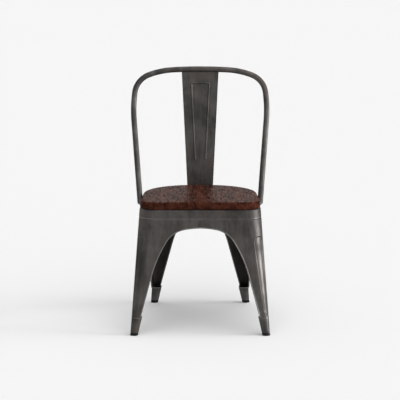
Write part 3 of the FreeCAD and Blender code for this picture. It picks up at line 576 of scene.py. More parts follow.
def blend(tree, share, a, b):
    """Mixes two colours."""
    node = tree.nodes.new("ShaderNodeMix")
    node.data_type = "RGBA"
    for socket, value in zip((node.inputs[0], node.inputs[6], node.inputs[7]), (share, a, b)):
        if isinstance(value, bpy.types.NodeSocket):
            tree.links.new(value, socket)
        elif socket is node.inputs[0]:
            socket.default_value = value
        else:
            socket.default_value = (*value, 1.0)
    return node.outputs[2]


def calc(tree, operation, a, b):
    node = tree.nodes.new("ShaderNodeMath")
    node.operation = operation
    for socket, value in zip(node.inputs, (a, b)):
        if isinstance(value, bpy.types.NodeSocket):
            tree.links.new(value, socket)
        else:
            socket.default_value = value
    return node.outputs[0]


def relief(tree, height, strength, distance, under=None):
    node = add_node(tree, "ShaderNodeBump", {"Height": height, "Strength": strength, "Distance": distance})
    if under is not None:
        tree.links.new(under, node.inputs["Normal"])
    return node.outputs["Normal"]


def steel_finish(name, colours, depth):
    """Bare steel under clear lacquer: mottled, with soft slanting streaks and heat marks. Convex edges are
    lighter, partly rubbed wear and partly painted highlight. Creases are darkened with painted shade.
    """
    material = bpy.data.materials.new(name)
    tree, shader = nodes_of(material)
    plain = place(tree)
    patches = noise(tree, plain, 9.0, 4.0, 0.6, 0.5)
    streaks = noise(tree, place(tree, (1.0, 1.0, 0.20), (0.3, 0.75, 0.2)), 26.0, 4.0, 0.65, 0.3)
    cloud = calc(tree, "ADD", calc(tree, "MULTIPLY", patches, 0.5), calc(tree, "MULTIPLY", streaks, 0.5))
    # The depth scales every tone: below 1 it is painted shade, above 1 painted highlight
    dark, light, brown, wear_and_sheen = (tuple(c * depth for c in tone) for tone in (
        colours.steel_dark, colours.steel_light, colours.steel_brown, colours.steel_wear_and_sheen))
    tone = blend(tree, spread(tree, cloud, 0.38, 0.62), dark, light)
    heat = noise(tree, place(tree, shifted=(3.1, 1.7, 0.4)), 13.0, 3.0, 0.6, 0.6)
    tone = blend(tree, spread(tree, heat, 0.48, 0.72, 0.0, 0.6), tone, brown)
    fine = spread(tree, noise(tree, plain, 900.0, 2.0, 0.7), 0.35, 0.65, 0.88, 1.12)
    speckled = add_node(tree, "ShaderNodeVectorMath", {0: tone, 1: fine}, operation="MULTIPLY")
    edge = add_node(tree, "ShaderNodeNewGeometry").outputs["Pointiness"]
    uneven = calc(tree, "ADD", edge, calc(tree, "MULTIPLY", patches, 0.03))
    # Convex edges turn lighter: partly rubbed wear, partly a painted highlight where light catches the edges
    edge_wear_and_sheen = spread(tree, uneven, 0.532, 0.590, 0.0, 0.42)
    tone = blend(tree, edge_wear_and_sheen, speckled.outputs[0], wear_and_sheen)
    # Painted shade: creases and concave corners are darkened where shade falls
    painted_crease_shade = spread(tree, edge, 0.40, 0.485, 0.85, 0.0)
    tone = blend(tree, painted_crease_shade, tone, tuple(c * 0.25 for c in dark))
    tree.links.new(tone, shader.inputs["Base Color"])
    tree.links.new(spread(tree, cloud, 0.3, 0.7, 0.46, 0.32), shader.inputs["Roughness"])
    wavy = relief(tree, noise(tree, plain, 26.0, 3.0, 0.5), 0.12, 0.004)
    grainy = relief(tree, noise(tree, plain, 700.0, 2.0, 0.6), 0.10, 0.0003, wavy)
    tree.links.new(grainy, shader.inputs["Normal"])
    shader.inputs["Metallic"].default_value = 0.65
    shader.inputs["Specular IOR Level"].default_value = 0.3
    shader.inputs["Specular Tint"].default_value = (0.25, 0.24, 0.23, 1.0)
    return material


def wood_finish(name, colours, shifted, warmth):
    """Stained and lacquered hardwood with open grain that runs from front to back; pale flecks on its top are
    partly wear and partly painted reflection.
    """
    material = bpy.data.materials.new(name)
    tree, shader = nodes_of(material)
    along = place(tree, (1.0, 0.09, 1.0), (0.0, 0.0, 0.03), shifted)
    figure = noise(tree, along, 38.0, 5.0, 0.6, 0.8)
    fibre = noise(tree, place(tree, (1.0, 0.05, 1.0), shifted=shifted), 420.0, 3.0, 0.7)
    pores = noise(tree, place(tree, (1.0, 0.12, 1.0), shifted=shifted), 150.0, 3.0, 0.65, 0.4)
    tone = calc(tree, "ADD", calc(tree, "MULTIPLY", figure, 0.65), calc(tree, "MULTIPLY", fibre, 0.35))
    body = blend(tree, spread(tree, tone, 0.36, 0.62), tuple(colours.wood_dark),
                 tuple(c * warmth for c in colours.wood_light))
    fleck = noise(tree, place(tree, (1.0, 0.22, 1.0), (0.0, 0.0, 0.2), shifted), 165.0, 2.0, 0.55, 0.6)
    facing = add_node(tree, "ShaderNodeNewGeometry").outputs["Normal"]
    level = add_node(tree, "ShaderNodeSeparateXYZ", {0: facing}).outputs[2]
    # Flecks on upward faces only: partly wear, partly a painted reflection of the pale backdrop on the top
    on_top = spread(tree, level, 0.75, 0.98, 0.03, 0.62)
    wear_and_sheen = calc(tree, "MULTIPLY", spread(tree, fleck, 0.48, 0.66), on_top)
    body = blend(tree, wear_and_sheen, body, tuple(colours.wood_wear_and_sheen))
    pore = spread(tree, pores, 0.34, 0.46, 0.85, 0.0)
    body = blend(tree, pore, body, tuple(colours.wood_dark))
    tree.links.new(body, shader.inputs["Base Color"])
    tree.links.new(spread(tree, pores, 0.3, 0.7, 0.42, 0.26), shader.inputs["Roughness"])
    waves = noise(tree, place(tree, (1.0, 0.30, 1.0), (0, 0, 0.25), shifted), 95.0, 3.0, 0.6, 0.5)
    wavy = relief(tree, waves, 0.85, 0.0016)
    tree.links.new(relief(tree, pores, 0.5, 0.0008, wavy), shader.inputs["Normal"])
    shader.inputs["Specular IOR Level"].default_value = 0.006
    return material


def plain_finish(name, tone, metallic, rough, grain, depth, gloss):
    """Moulded or turned small parts: even colour with a fine uneven grain."""
    material = bpy.data.materials.new(name)
    tree, shader = nodes_of(material)
    where = place(tree)
    cloud = noise(tree, where, grain, 4.0, 0.6)
    dark = tuple(c * 0.75 for c in tone)
    light = tuple(min(1.0, c * 1.3) for c in tone)
    tree.links.new(blend(tree, spread(tree, cloud, 0.3, 0.7), dark, light), shader.inputs["Base Color"])
    tree.links.new(spread(tree, cloud, 0.3, 0.7, rough - 0.08, rough + 0.08), shader.inputs["Roughness"])
    tree.links.new(relief(tree, noise(tree, where, grain * 8, 2.0, 0.6), 0.3, depth), shader.inputs["Normal"])
    shader.inputs["Metallic"].default_value = metallic
    shader.inputs["Specular IOR Level"].default_value = gloss
    return material


# How light the steel is: outside; on the hidden sides a darker copy, which is painted shade; along the hems a
# lighter copy, which is painted highlight
STEEL_DEPTHS = {"lacquered_steel": 1.0, "inner_steel": 0.30, "rubbed_steel": 1.3}
STAVE_WARMTH = (0.95, 1.0, 0.86, 1.08)
# Small parts: colour, metallic, roughness, grain, depth of the grain and gloss
SMALL_FINISHES = {
    "black_rubber": ("rubber", 0.0, 0.62, 90.0, 0.0004, 0.12),
    "black_plastic": ("rubber", 0.0, 0.48, 140.0, 0.0002, 0.2),
    "zinc_plate": ("zinc", 1.0, 0.34, 160.0, 0.0001, 0.5),
    "turned_brass": ("brass", 1.0, 0.30, 160.0, 0.0001, 0.5),
}


def finish(name):
    """A finish by name, made when it is first asked for."""
    found = bpy.data.materials.get(name)
    if found:
        return found
    colours = bpy.context.scene.chair_finish
    if name in STEEL_DEPTHS:
        return steel_finish(name, colours, STEEL_DEPTHS[name])
    if name.startswith("stave_wood_"):
        number = int(name[-1])
        shifted = (0.37 * number, 0.9 * number, 0.2 * number)
        return wood_finish(name, colours, shifted, STAVE_WARMTH[number - 1])
    tone, *values = SMALL_FINISHES[name]
    return plain_finish(name, getattr(colours, tone), *values)


def settle(obj, finishes, nodes):
    """Gives a piece its finishes and joins it to the frame in place of CAD nodes."""
    for name in finishes:
        obj.data.materials.append(finish(name))
    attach(obj, "root")
    if nodes:
        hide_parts(*nodes)
    return obj


# Legs

# Outside steel, darker steel on the lining as painted shade, lighter steel on the hems as painted highlight
LEG_FINISHES = ("lacquered_steel", "inner_steel", "rubbed_steel")
LEG_TOP_DROP = 0.0045
COLLAR_RISE = 0.0030
COLLAR_LIP = 0.008
FLUTE_TIP_POWER = 0.56
FLUTE_EDGE_START = 0.0007
FLUTE_EDGE_WIDTH = 0.0034
SEAM_GROOVE = 0.0006
SEAM_WIDTH = 0.07
SLEEVE_SIDES = 72
SLEEVE_ROWS = 22
HEM_SIDES = 12
LEG_TOP_ROWS = 8
LEG_ARCH_ROWS = 150
LEG_STEP_ROWS = 6
LEG_FACE_COLUMNS = 22
LEG_CORNER_COLUMNS = 76
LEG_SIDE_COLUMNS = 22


def leg_borders(outline, arch_sizes, corner, rows):
    """Levels and places down both edges of a leg's sheet: seam, arch and notch step."""
    top_rows, arch_rows, step_rows = rows
    s = outline.s
    face_arch, side_arch = arches_of(arch_sizes, corner)
    top = outline.pan_top - s.skirt_height - LEG_TOP_DROP
    borders = []
    for arch, edge, seam_q in ((face_arch, face_edge, 0.0), (side_arch, side_edge, 3.0)):
        z, q = edge(outline, corner, arch, arch_rows)
        seam_z = np.linspace(top, arch.apex, top_rows, endpoint=False)
        knee = outline.circle(corner, s.knee_height)
        if seam_q == 0.0:
            inner = float(knee[0]) - s.knee_radius
            end_q = inner / float(knee[0])
        else:
            way = -1.0 if corner == FRONT else 1.0
            inner_y = float(knee[1]) - way * s.knee_radius
            inner_x = float(outline.side_x(corner, inner_y, s.knee_height))
            end_q = float(outline.place_of(corner, np.array([[inner_x, inner_y, s.knee_height]]))[0])
        step_z = np.linspace(z[-1], s.knee_height, step_rows + 1)[1:]
        step_q = np.linspace(q[-1], end_q, step_rows + 1)[1:]
        borders.append((np.concatenate([seam_z, z, step_z]),
                        np.concatenate([np.full(top_rows, seam_q), q, step_q])))
    return borders


def flute_sink(outline, corner, points):
    """How deep the flute is at each point of a leg's surface, from 0 to 1."""
    s = outline.s
    z = points[..., 2]
    way = 1.0 if corner == FRONT else -1.0
    offset = points - outline.corner_line(corner, z)
    across = np.abs((offset[..., 0] + way * offset[..., 1]) * math.sqrt(0.5))
    shoulder = s.flute_top - s.flute_half_top
    share = (z - s.flute_taper) / (shoulder - s.flute_taper)
    half = mix(s.flute_half_low, s.flute_half_top, np.clip(share, 0, 1))
    inside = half - across
    crown = s.flute_half_top - np.hypot(across, z - shoulder)
    tip_share = np.clip((z - s.flute_tip) / (s.flute_taper - s.flute_tip), 0, 1)
    tip = s.flute_half_low * tip_share ** FLUTE_TIP_POWER - across
    inside = np.where(z > shoulder, crown, np.where(z < s.flute_taper, tip, inside))
    t = np.clip((inside + FLUTE_EDGE_START) / FLUTE_EDGE_WIDTH, 0, 1)
    return t * t * (3 - 2 * t)


def leg_sheet(outline, arch_sizes, corner, rows, columns, inset):
    """Grid of a leg's sheet between its two edges, with the shoulder under the skirt and the flute."""
    s = outline.s
    (face_z, face_q), (side_z, side_q) = leg_borders(outline, arch_sizes, corner, rows)
    stops_index = np.cumsum((0,) + columns)
    index = np.arange(stops_index[-1] + 1)
    share = index / index[-1]
    places = []
    for low, high in zip(face_q, side_q):
        stops = (low, max(1.0, low), min(2.0, high), high)
        places.append(np.interp(index, stops_index, stops))
    q = np.array(places)
    z = face_z[:, None] * (1 - share) + side_z[:, None] * share
    grid = outline.point(corner, z, q, inset)
    sink = flute_sink(outline, corner, outline.point(corner, z, q)) * s.flute_depth
    grid = grid - outline.normal(corner, z, q) * sink[..., None]
    top = z[0]
    collar = []
    lip = outline.pan_top - s.skirt_height + COLLAR_LIP
    for turned in np.linspace(math.pi / 2, 0, 5)[1:]:
        rise = COLLAR_RISE * math.cos(turned)
        step = s.tuck * (1 - math.sin(turned))
        collar.append(outline.point(corner, top + rise, q[0], inset + step))
    collar.append(outline.point(corner, np.full_like(top, lip), q[0], inset + s.tuck))
    return np.concatenate([np.array(collar[::-1]), grid])


def hem_paths(outline, arch_sizes, corner):
    """Lines of the two hems of a leg, from the seam to the notch."""
    s = outline.s
    rows = (LEG_TOP_ROWS, LEG_ARCH_ROWS, LEG_STEP_ROWS)
    paths = []
    for z, q in leg_borders(outline, arch_sizes, corner, rows):
        z = z[LEG_TOP_ROWS:-LEG_STEP_ROWS]
        q = q[LEG_TOP_ROWS:-LEG_STEP_ROWS]
        paths.append(outline.point(corner, z, q, s.sheet / 2))
    return paths


def sleeve_grids(outline, corner):
    """Outer and inner wall of the closed tube under a leg, with its seam on the side towards the chair."""
    s = outline.s
    z = np.linspace(s.knee_height + 0.0008, s.foot_height + 0.0005, SLEEVE_ROWS)
    turns = np.linspace(0, 2 * math.pi, SLEEVE_SIDES, endpoint=False)
    cx, cy, radius = outline.circle(corner, z)
    way = -1.0 if corner == FRONT else 1.0
    seam = math.atan2(-way, -1.0)
    away = np.angle(np.exp(1j * (turns - seam)))
    groove = SEAM_GROOVE * np.exp(-(away / SEAM_WIDTH) ** 2)
    wall = radius[:, None] - groove[None, :]
    wall[0] -= 0.0005
    wall[-1] -= 0.0004

    def ring(radii):
        x = cx[:, None] + radii * np.cos(turns)
        y = cy[:, None] + radii * np.sin(turns)
        return np.stack([x, y, np.broadcast_to(z[:, None], x.shape)], -1)

    return ring(wall), ring(np.broadcast_to((radius - s.sheet)[:, None], wall.shape))


def build_leg(name, corner, flipped):
    """One pressed leg: sheet, lining, hems and sleeve."""
    outline = Outline(bpy.context.scene.chair_base)
    arch_sizes = bpy.context.scene.chair_arches
    parts = MeshParts()
    fine = leg_sheet(outline, arch_sizes, corner, (LEG_TOP_ROWS, LEG_ARCH_ROWS, LEG_STEP_ROWS),
                     (LEG_FACE_COLUMNS, LEG_CORNER_COLUMNS, LEG_SIDE_COLUMNS), 0.0)
    lining = leg_sheet(outline, arch_sizes, corner, (3, 60, 4), (10, 30, 10), outline.s.sheet)
    outward_flip = (corner == FRONT) == flipped
    wall, bore = sleeve_grids(outline, corner)

    def shown(points):
        return mirrored(points) if flipped else points

    # The lining and the sleeve's bore take the darker steel, which is painted shade
    for grid, inner in ((fine, False), (lining, True)):
        parts.add_grid(shown(grid), flip=outward_flip != inner, side=int(inner))
    for grid, inner in ((wall, False), (bore, True)):
        parts.add_grid(shown(grid), closed=True, flip=(not flipped) != inner, side=int(inner))
    parts.add_grid(shown(np.stack([wall[0], bore[0]])), closed=True, flip=flipped)
    # The hems take the lighter steel, which is a painted highlight
    for path in hem_paths(outline, arch_sizes, corner):
        rounded_tube(parts, shown(path), outline.s.hem_radius, HEM_SIDES, LEG_FINISHES.index("rubbed_steel"))
    return settle(parts.make(name), LEG_FINISHES, [name.replace("pressed_", "")])


# Pan

def ring_points(outline, z, inset, counts=(10, 26, 8)):
    """Closed outline of the base at a level, anticlockwise from the front seam."""
    face, corner, side = counts
    q = np.concatenate([np.linspace(0, 1, face, endpoint=False), np.linspace(1, 2, corner, endpoint=False),
                        np.linspace(2, 3, side, endpoint=False)])
    front = outline.point(FRONT, z, q, inset)
    rear_q = np.concatenate([q[1:], [3.0]])[::-1]
    rear = outline.point(REAR, z, rear_q, inset)
    right = np.concatenate([front, rear])
    left_rear = mirrored(rear[::-1])
    rear_middle = outline.point(REAR, np.array([z]), np.array([0.0]), inset)
    left = np.concatenate([rear_middle, left_rear, mirrored(front[1:][::-1])])
    return np.concatenate([right, left])


def build_pan():
    """Pressed pan: skirt with a rounded rim, top plate and the underside."""
    outline = Outline(bpy.context.scene.chair_base)
    s = outline.s
    top = outline.pan_top
    low = top - s.skirt_height
    edge = 0.0005
    profile = [(low + edge, s.sheet), (low, s.sheet - edge), (low, edge), (low + edge, 0.0)]
    profile += [(z, 0.0) for z in np.linspace(low + 0.003, top - s.pan_edge, 6)]
    for a in np.linspace(0, math.pi / 2, 8)[1:]:
        profile.append((top - s.pan_edge * (1 - math.sin(a)), s.pan_edge * (1 - math.cos(a))))
    profile.append((top, s.pan_edge + 0.004))
    outer = np.array([ring_points(outline, z, inset) for z, inset in profile])
    under = [(low + edge, s.sheet)]
    under += [(z, s.sheet) for z in np.linspace(low + 0.004, top - s.pan_edge, 4)]
    for a in np.linspace(0, math.pi / 2, 6)[1:]:
        bend = s.pan_edge - s.sheet
        under.append((top - s.sheet - bend * (1 - math.sin(a)), s.sheet + bend * (1 - math.cos(a))))
    inner = np.array([ring_points(outline, z, inset) for z, inset in under])
    parts = MeshParts()
    parts.add_grid(outer, closed=True)
    # The underside takes the darker steel, which is painted shade
    parts.add_grid(inner, closed=True, flip=True, side=1)
    parts.add_cap(outer[-1])
    parts.add_cap(inner[-1], flip=True, side=1)
    obj = parts.make("pressed_pan")
    return settle(obj, ["lacquered_steel", "inner_steel"], ["seat_pan"])


# Board

def board_ring(s, inset):
    """Outline of the board drawn in by an inset, anticlockwise from the front."""
    fx, fy, fr = s.front_width / 2 - s.front_radius, s.front_radius - s.front, s.front_radius
    back_y = s.rear - s.back_radius
    rx = s.rear_width / 2 - s.rear_radius
    ry = back_y + math.sqrt((s.back_radius - s.rear_radius) ** 2 - rx ** 2)
    gap = math.hypot(rx - fx, ry - fy)
    side = math.atan2(ry - fy, rx - fx) - math.acos((fr - s.rear_radius) / gap)
    turned = math.atan2(ry - back_y, rx)

    def at(x, y, radius, a):
        return x + (radius - inset) * math.cos(a), y + (radius - inset) * math.sin(a)

    half = [(x, fy - fr + inset) for x in np.linspace(0, fx, 24, endpoint=False)]
    half += [at(fx, fy, fr, a) for a in np.linspace(-math.pi / 2, side, 30)]
    front_end = np.array(at(fx, fy, fr, side))
    rear_end = np.array(at(rx, ry, s.rear_radius, side))
    half += [tuple(mix(front_end, rear_end, share)) for share in np.linspace(0, 1, 14)[1:-1]]
    half += [at(rx, ry, s.rear_radius, a) for a in np.linspace(side, turned, 40)]
    half += [at(0.0, back_y, s.back_radius, a) for a in np.linspace(turned, math.pi / 2, 16)[1:]]
    half = np.array(half)
    left = half[1:-1][::-1] * np.array([-1.0, 1.0])
    return np.concatenate([half, left])


def build_stave(number, low, high):
    """One stave of the board, cut from the rounded outline between two joints."""
    s = bpy.context.scene.chair_board
    bottom, top = BOARD_BOX[0].z, BOARD_BOX[1].z
    profile = [(bottom, s.low_round + 0.012)]
    for a in np.linspace(0, math.pi / 2, 7):
        profile.append((bottom + s.low_round * (1 - math.cos(a)), s.low_round * (1 - math.sin(a))))
    for a in np.linspace(0, math.pi / 2, 11):
        profile.append((top - s.top_round * (1 - math.sin(a)), s.top_round * (1 - math.cos(a))))
    profile.append((top, s.top_round + 0.012))
    rings = []
    for z, inset in profile:
        ring = board_ring(s, inset)
        rings.append(np.column_stack([ring, np.full(len(ring), z)]))
    parts = MeshParts()
    grid = np.array(rings)
    parts.add_grid(grid, closed=True)
    parts.add_cap(grid[0], flip=True)
    parts.add_cap(grid[-1])
    name = "wood_stave_%d" % number
    obj = parts.make(name)
    work = bmesh.new()
    work.from_mesh(obj.data)
    for joint, outward in ((low, -1), (high, 1)):
        if joint is None:
            continue
        bmesh.ops.bisect_plane(work, geom=all_of(work), dist=1e-6, plane_co=(joint, 0, 0),
                               plane_no=(outward, 0, 0), clear_outer=True)
        border = [e for e in work.edges if e.is_boundary]
        filled = bmesh.ops.contextual_create(work, geom=border)
        edges = [e for f in filled["faces"] for e in f.edges if max(v.co.z for v in e.verts) > bottom + 0.001]
        bmesh.ops.bevel(work, geom=edges, offset=s.joint_gap, segments=2, profile=0.5, affect="EDGES",
                        clamp_overlap=True)
    work.to_mesh(obj.data)
    work.free()
    shade(obj.data)
    return settle(obj, ["stave_wood_%d" % number], ["seat_stave_%d" % number])


# Hoop

PAST_FOOT = 2.2
TUBE_SIDES = 40


def hoop_line(s, count=60):
    """Centre line of the hoop from foot to foot, and the place of its right foot."""
    outline = Outline(bpy.context.scene.chair_base)
    foot_z = outline.pan_top - s.foot_drop
    top_z = HOOP_BOX[1].z - s.tube_radius
    lean = np.array([0, s.top_y - s.foot_y, top_z - foot_z])
    height = float(np.linalg.norm(lean))
    climb = lean / height
    foot_x = float(outline.side_x(FRONT, s.foot_y, foot_z)) + s.tube_radius - s.weld_bite
    radii = (s.top_radius, s.upper_radius, s.shoulder_radius, s.side_radius)
    spare = s.half_width - s.side_radius
    spare -= (s.upper_radius - s.shoulder_radius) * math.sin(s.upper_turn)
    spare -= (s.shoulder_radius - s.side_radius) * math.sin(s.shoulder_turn)
    first = math.asin(spare / (s.top_radius - s.upper_radius))
    starts = (0.0, first, s.upper_turn, s.shoulder_turn)
    cx, cs = 0.0, height - s.top_radius
    centres = []
    last = s.top_radius
    for radius, start in zip(radii, starts):
        cx += (last - radius) * math.sin(start)
        cs += (last - radius) * math.cos(start)
        centres.append((cx, cs))
        last = radius
    reach = math.hypot(foot_x - cx, -cs)
    foot_turn = math.atan2(foot_x - cx, -cs) - math.acos(s.side_radius / reach)
    ends = (first, s.upper_turn, s.shoulder_turn, foot_turn)
    right = []
    for (ox, os), radius, start, end in zip(centres, radii, starts, ends):
        steps = max(6, int(count * radius * (end - start) / 0.4))
        for a in np.linspace(start, end, steps, endpoint=False):
            right.append((ox + radius * math.sin(a), os + radius * math.cos(a)))
    tangent = (cx + s.side_radius * math.sin(foot_turn), cs + s.side_radius * math.cos(foot_turn))
    past = -PAST_FOOT * s.tube_radius
    end_x = mix(tangent[0], foot_x, (tangent[1] - past) / tangent[1])
    for share in np.linspace(0, 1, 14):
        right.append((mix(tangent[0], end_x, share), mix(tangent[1], past, share)))
    right = np.array(right)
    flat = np.concatenate([right[1:][::-1] * np.array([-1, 1]), right])
    foot = np.array([0, s.foot_y, foot_z])
    line = foot + flat[:, :1] * np.array([1.0, 0, 0]) + flat[:, 1:] * climb
    return line, np.array([foot_x, s.foot_y, foot_z])


def build_hoop():
    """Bent tube of the back with slanted ends."""
    s = bpy.context.scene.chair_back
    line, foot = hoop_line(s)
    parts = MeshParts()
    grid = tube_grid(line, s.tube_radius, TUBE_SIDES)
    parts.add_grid(grid, closed=True)
    obj = parts.make("bent_hoop")
    work = bmesh.new()
    work.from_mesh(obj.data)
    for way in (-1, 1):
        normal = (way * math.sin(s.end_slant), 0, -math.cos(s.end_slant))
        at = (way * foot[0], foot[1], foot[2])
        bmesh.ops.bisect_plane(work, geom=all_of(work), dist=1e-7, plane_co=at, plane_no=normal,
                               clear_outer=True)
    bmesh.ops.holes_fill(work, edges=[e for e in work.edges if e.is_boundary])
    bmesh.ops.recalc_face_normals(work, faces=work.faces)
    work.to_mesh(obj.data)
    work.free()
    shade(obj.data)
    return settle(obj, ["lacquered_steel"], ["back_hoop"])


# Splat

SPLAT_COLUMNS = 169
EDGE_WIDTH = 0.0005
EDGE_ROUND = 0.0004
BEAD_BACK_RADIUS_LESS = 0.0009
BEAD_BACK_RISE_LESS = 0.0007


def splat_curve(s, outline):
    """Tip and bow centre of the splat's side profile, as depths and levels."""
    base = np.array([outline.s.pan_rear, outline.pan_top])
    tip = np.array([s.top_y, HOOP_BOX[1].z - s.tube_radius])
    chord = tip - base
    size = float(np.linalg.norm(chord))
    across = np.array([chord[1], -chord[0]]) / size
    centre = (base + tip) / 2 + across * math.sqrt(s.splat_bow ** 2 - (size / 2) ** 2)
    return tip, centre


def bead_height(s, x, z, radius, rise):
    """Height of the bead above the sheet at points of the splat."""
    share = np.clip((z - s.bead_low) / (s.bead_top - s.bead_low), 0, 1)
    leg = np.abs(np.abs(x) - mix(s.bead_half_low, s.bead_half_top, share))
    foot = np.where(z < s.bead_low, s.bead_low - z, 0)
    over = np.where(z > s.bead_top, z - s.bead_top, 0)
    leg = np.hypot(leg, np.maximum(foot, over))
    crown = s.bead_top + s.bead_crown * (1 - (x / s.bead_half_top) ** 2)
    bar = np.hypot(np.abs(z - crown), np.clip(np.abs(x) - s.bead_half_top, 0, None))
    near = np.minimum(leg, bar)
    dome = np.sqrt(np.clip(radius ** 2 - near ** 2, 0, None)) - (radius - rise)
    return np.clip(dome, 0, None)


def build_splat():
    """Tapered blade with its pressed bead and the foot on the skirt."""
    s = bpy.context.scene.chair_back
    outline = Outline(bpy.context.scene.chair_base)
    tip, centre = splat_curve(s, outline)
    skirt = outline.s
    slope = (skirt.foot_reach - skirt.pan_rear) / outline.pan_top
    foot_z = np.linspace(outline.pan_top - s.splat_foot, outline.pan_top, 8, endpoint=False)
    levels = [np.linspace(outline.pan_top, s.bead_low - 0.006, 26, endpoint=False),
              np.linspace(s.bead_low - 0.006, s.bead_low + 0.004, 14, endpoint=False),
              np.linspace(s.bead_low + 0.004, s.bead_top - 0.006, 78, endpoint=False),
              np.linspace(s.bead_top - 0.006, s.bead_top + 0.009, 22, endpoint=False),
              np.linspace(s.bead_top + 0.009, tip[1] - 0.004, 12)]
    blade_z = np.concatenate(levels)
    z = np.concatenate([foot_z, blade_z])
    blade_y = centre[0] - np.sqrt(s.splat_bow ** 2 - (blade_z - centre[1]) ** 2)
    foot_y = skirt.pan_rear + slope * (outline.pan_top - foot_z)
    y = np.concatenate([foot_y, blade_y])
    half = mix(s.splat_low_width, s.splat_top_width, (z - outline.pan_top) / (tip[1] - outline.pan_top)) / 2
    tangents = np.gradient(np.stack([y, z], -1), axis=0)
    tangents /= np.linalg.norm(tangents, axis=1)[:, None]
    out_y, out_z = -tangents[:, 1], tangents[:, 0]

    def face(depth, radius, rise):
        u = np.linspace(-1, 1, SPLAT_COLUMNS)
        x = half[:, None] * u[None, :]
        rows = np.broadcast_to(z[:, None], x.shape)
        lift = bead_height(s, x, rows, radius, rise)
        edge = np.clip((1 - np.abs(u)) * s.splat_low_width / 2 / EDGE_WIDTH, 0, 1)
        shift = lift - depth
        shift = shift + (EDGE_ROUND if depth else -EDGE_ROUND) * (1 - edge[None, :])
        return np.stack([x, y[:, None] + out_y[:, None] * shift, rows + out_z[:, None] * shift], -1)

    front = face(0.0, s.bead_radius, s.bead_rise)
    back = face(s.splat_sheet, s.bead_radius - BEAD_BACK_RADIUS_LESS, s.bead_rise - BEAD_BACK_RISE_LESS)
    parts = MeshParts()
    parts.add_grid(front)
    parts.add_grid(back, flip=True)
    for side, flip in ((0, True), (-1, False)):
        parts.add_grid(np.stack([front[:, side], back[:, side]], 1), flip=not flip)
    parts.add_grid(np.stack([front[0], back[0]]), flip=True)
    parts.add_grid(np.stack([front[-1], back[-1]]))
    obj = parts.make("bead_splat")
    return settle(obj, ["lacquered_steel"], ["back_splat"])


# Feet

def build_foot(name, corner, flipped):
    """Rubber foot: a rounded tip that follows the leg's lean, with a ring where it meets the sleeve."""
    outline = Outline(bpy.context.scene.chair_base)
    s = outline.s
    profile = [(0.0, 0.0), (0.0, s.foot_radius - 0.0016), (0.0003, s.foot_radius - 0.0009)]
    profile += [(0.0010, s.foot_radius - 0.0002), (0.0018, s.foot_radius)]
    profile += [(s.foot_height - 0.0012, s.foot_radius), (s.foot_height - 0.0004, s.foot_radius - 0.0002)]
    profile += [(s.foot_height, s.foot_radius - 0.0008), (s.foot_height, s.sleeve_radius - s.sheet - 0.0002)]
    profile += [(s.foot_height + 0.010, s.sleeve_radius - s.sheet - 0.0002)]
    turns = np.linspace(0, 2 * math.pi, 48, endpoint=False)
    rings = []
    for z, radius in profile[1:]:
        cx, cy, _ = outline.circle(corner, z)
        rings.append(np.stack([cx + radius * np.cos(turns), cy + radius * np.sin(turns), np.full(48, z)], -1))
    grid = np.array(rings)
    grid = mirrored(grid) if flipped else grid
    parts = MeshParts()
    parts.add_grid(grid, closed=True, flip=flipped)
    parts.add_cap(grid[0], flip=not flipped)
    parts.add_cap(grid[-1], flip=flipped)
    obj = parts.make(name)
    return settle(obj, ["black_rubber"], [name.replace("rubber_", "")])


# Stage

FLOOR_REACH = 30.0
FLOOR_TONE = 0.96
# Each sun: its name, the setting that holds its strength, its width in degrees and where it shines
SUNS = (
    ("key_light", "key", 32, (-0.985, 0.06, -0.14)),
    ("top_light", "top", 40, (-0.03, 0.03, -1.0)),
    ("front_light", "front", 80, (-0.32, 0.556, -0.766)),
)


def build_camera(stage):
    data = bpy.data.cameras.new("photo_camera")
    camera = bpy.data.objects.new("photo_camera", data)
    bpy.context.scene.collection.objects.link(camera)
    data.sensor_width = 36.0
    data.lens = stage.lens
    data.shift_x = stage.shift
    data.clip_end = 100.0
    back = Vector((0, -math.cos(stage.elevation), math.sin(stage.elevation)))
    camera.location = Vector((0, 0, stage.aim_height)) + back * stage.distance
    camera.rotation_mode = "QUATERNION"
    camera.rotation_quaternion = (-back).to_track_quat("-Z", "Y")
    bpy.context.scene.camera = camera


def seen_directly(tree):
    """The light path's node, and 1 for rays from the camera, in reflections and through glass."""
    path = add_node(tree, "ShaderNodeLightPath")
    seen = calc(tree, "MAXIMUM", path.outputs["Is Camera Ray"], path.outputs["Is Glossy Ray"])
    return path, calc(tree, "MAXIMUM", seen, path.outputs["Is Transmission Ray"])


def build_world(stage):
    """Pale backdrop behind the chair. Reflections see it too, and the dimmer room on the camera's side."""
    world = bpy.data.worlds.new("studio_world")
    bpy.context.scene.world = world
    world.use_nodes = True
    tree = world.node_tree
    light = tree.nodes["Background"]
    light.inputs["Color"].default_value = (1, 1, 1, 1)
    light.inputs["Strength"].default_value = stage.fill
    direction = add_node(tree, "ShaderNodeTexCoord").outputs["Generated"]
    depth = add_node(tree, "ShaderNodeSeparateXYZ", {0: direction}).outputs[1]
    path, seen = seen_directly(tree)
    dim = calc(tree, "MULTIPLY", path.outputs["Is Glossy Ray"], spread(tree, depth, -0.1, 0.5, 0.65, 0.0))
    strength = calc(tree, "MULTIPLY", calc(tree, "SUBTRACT", 1.0, dim), stage.backdrop)
    pale = add_node(tree, "ShaderNodeBackground", {"Color": (1, 1, 1, 1), "Strength": strength})
    mixed = add_node(tree, "ShaderNodeMixShader", {0: seen, 1: light.outputs[0], 2: pale.outputs[0]})
    tree.links.new(mixed.outputs[0], tree.nodes["World Output"].inputs["Surface"])


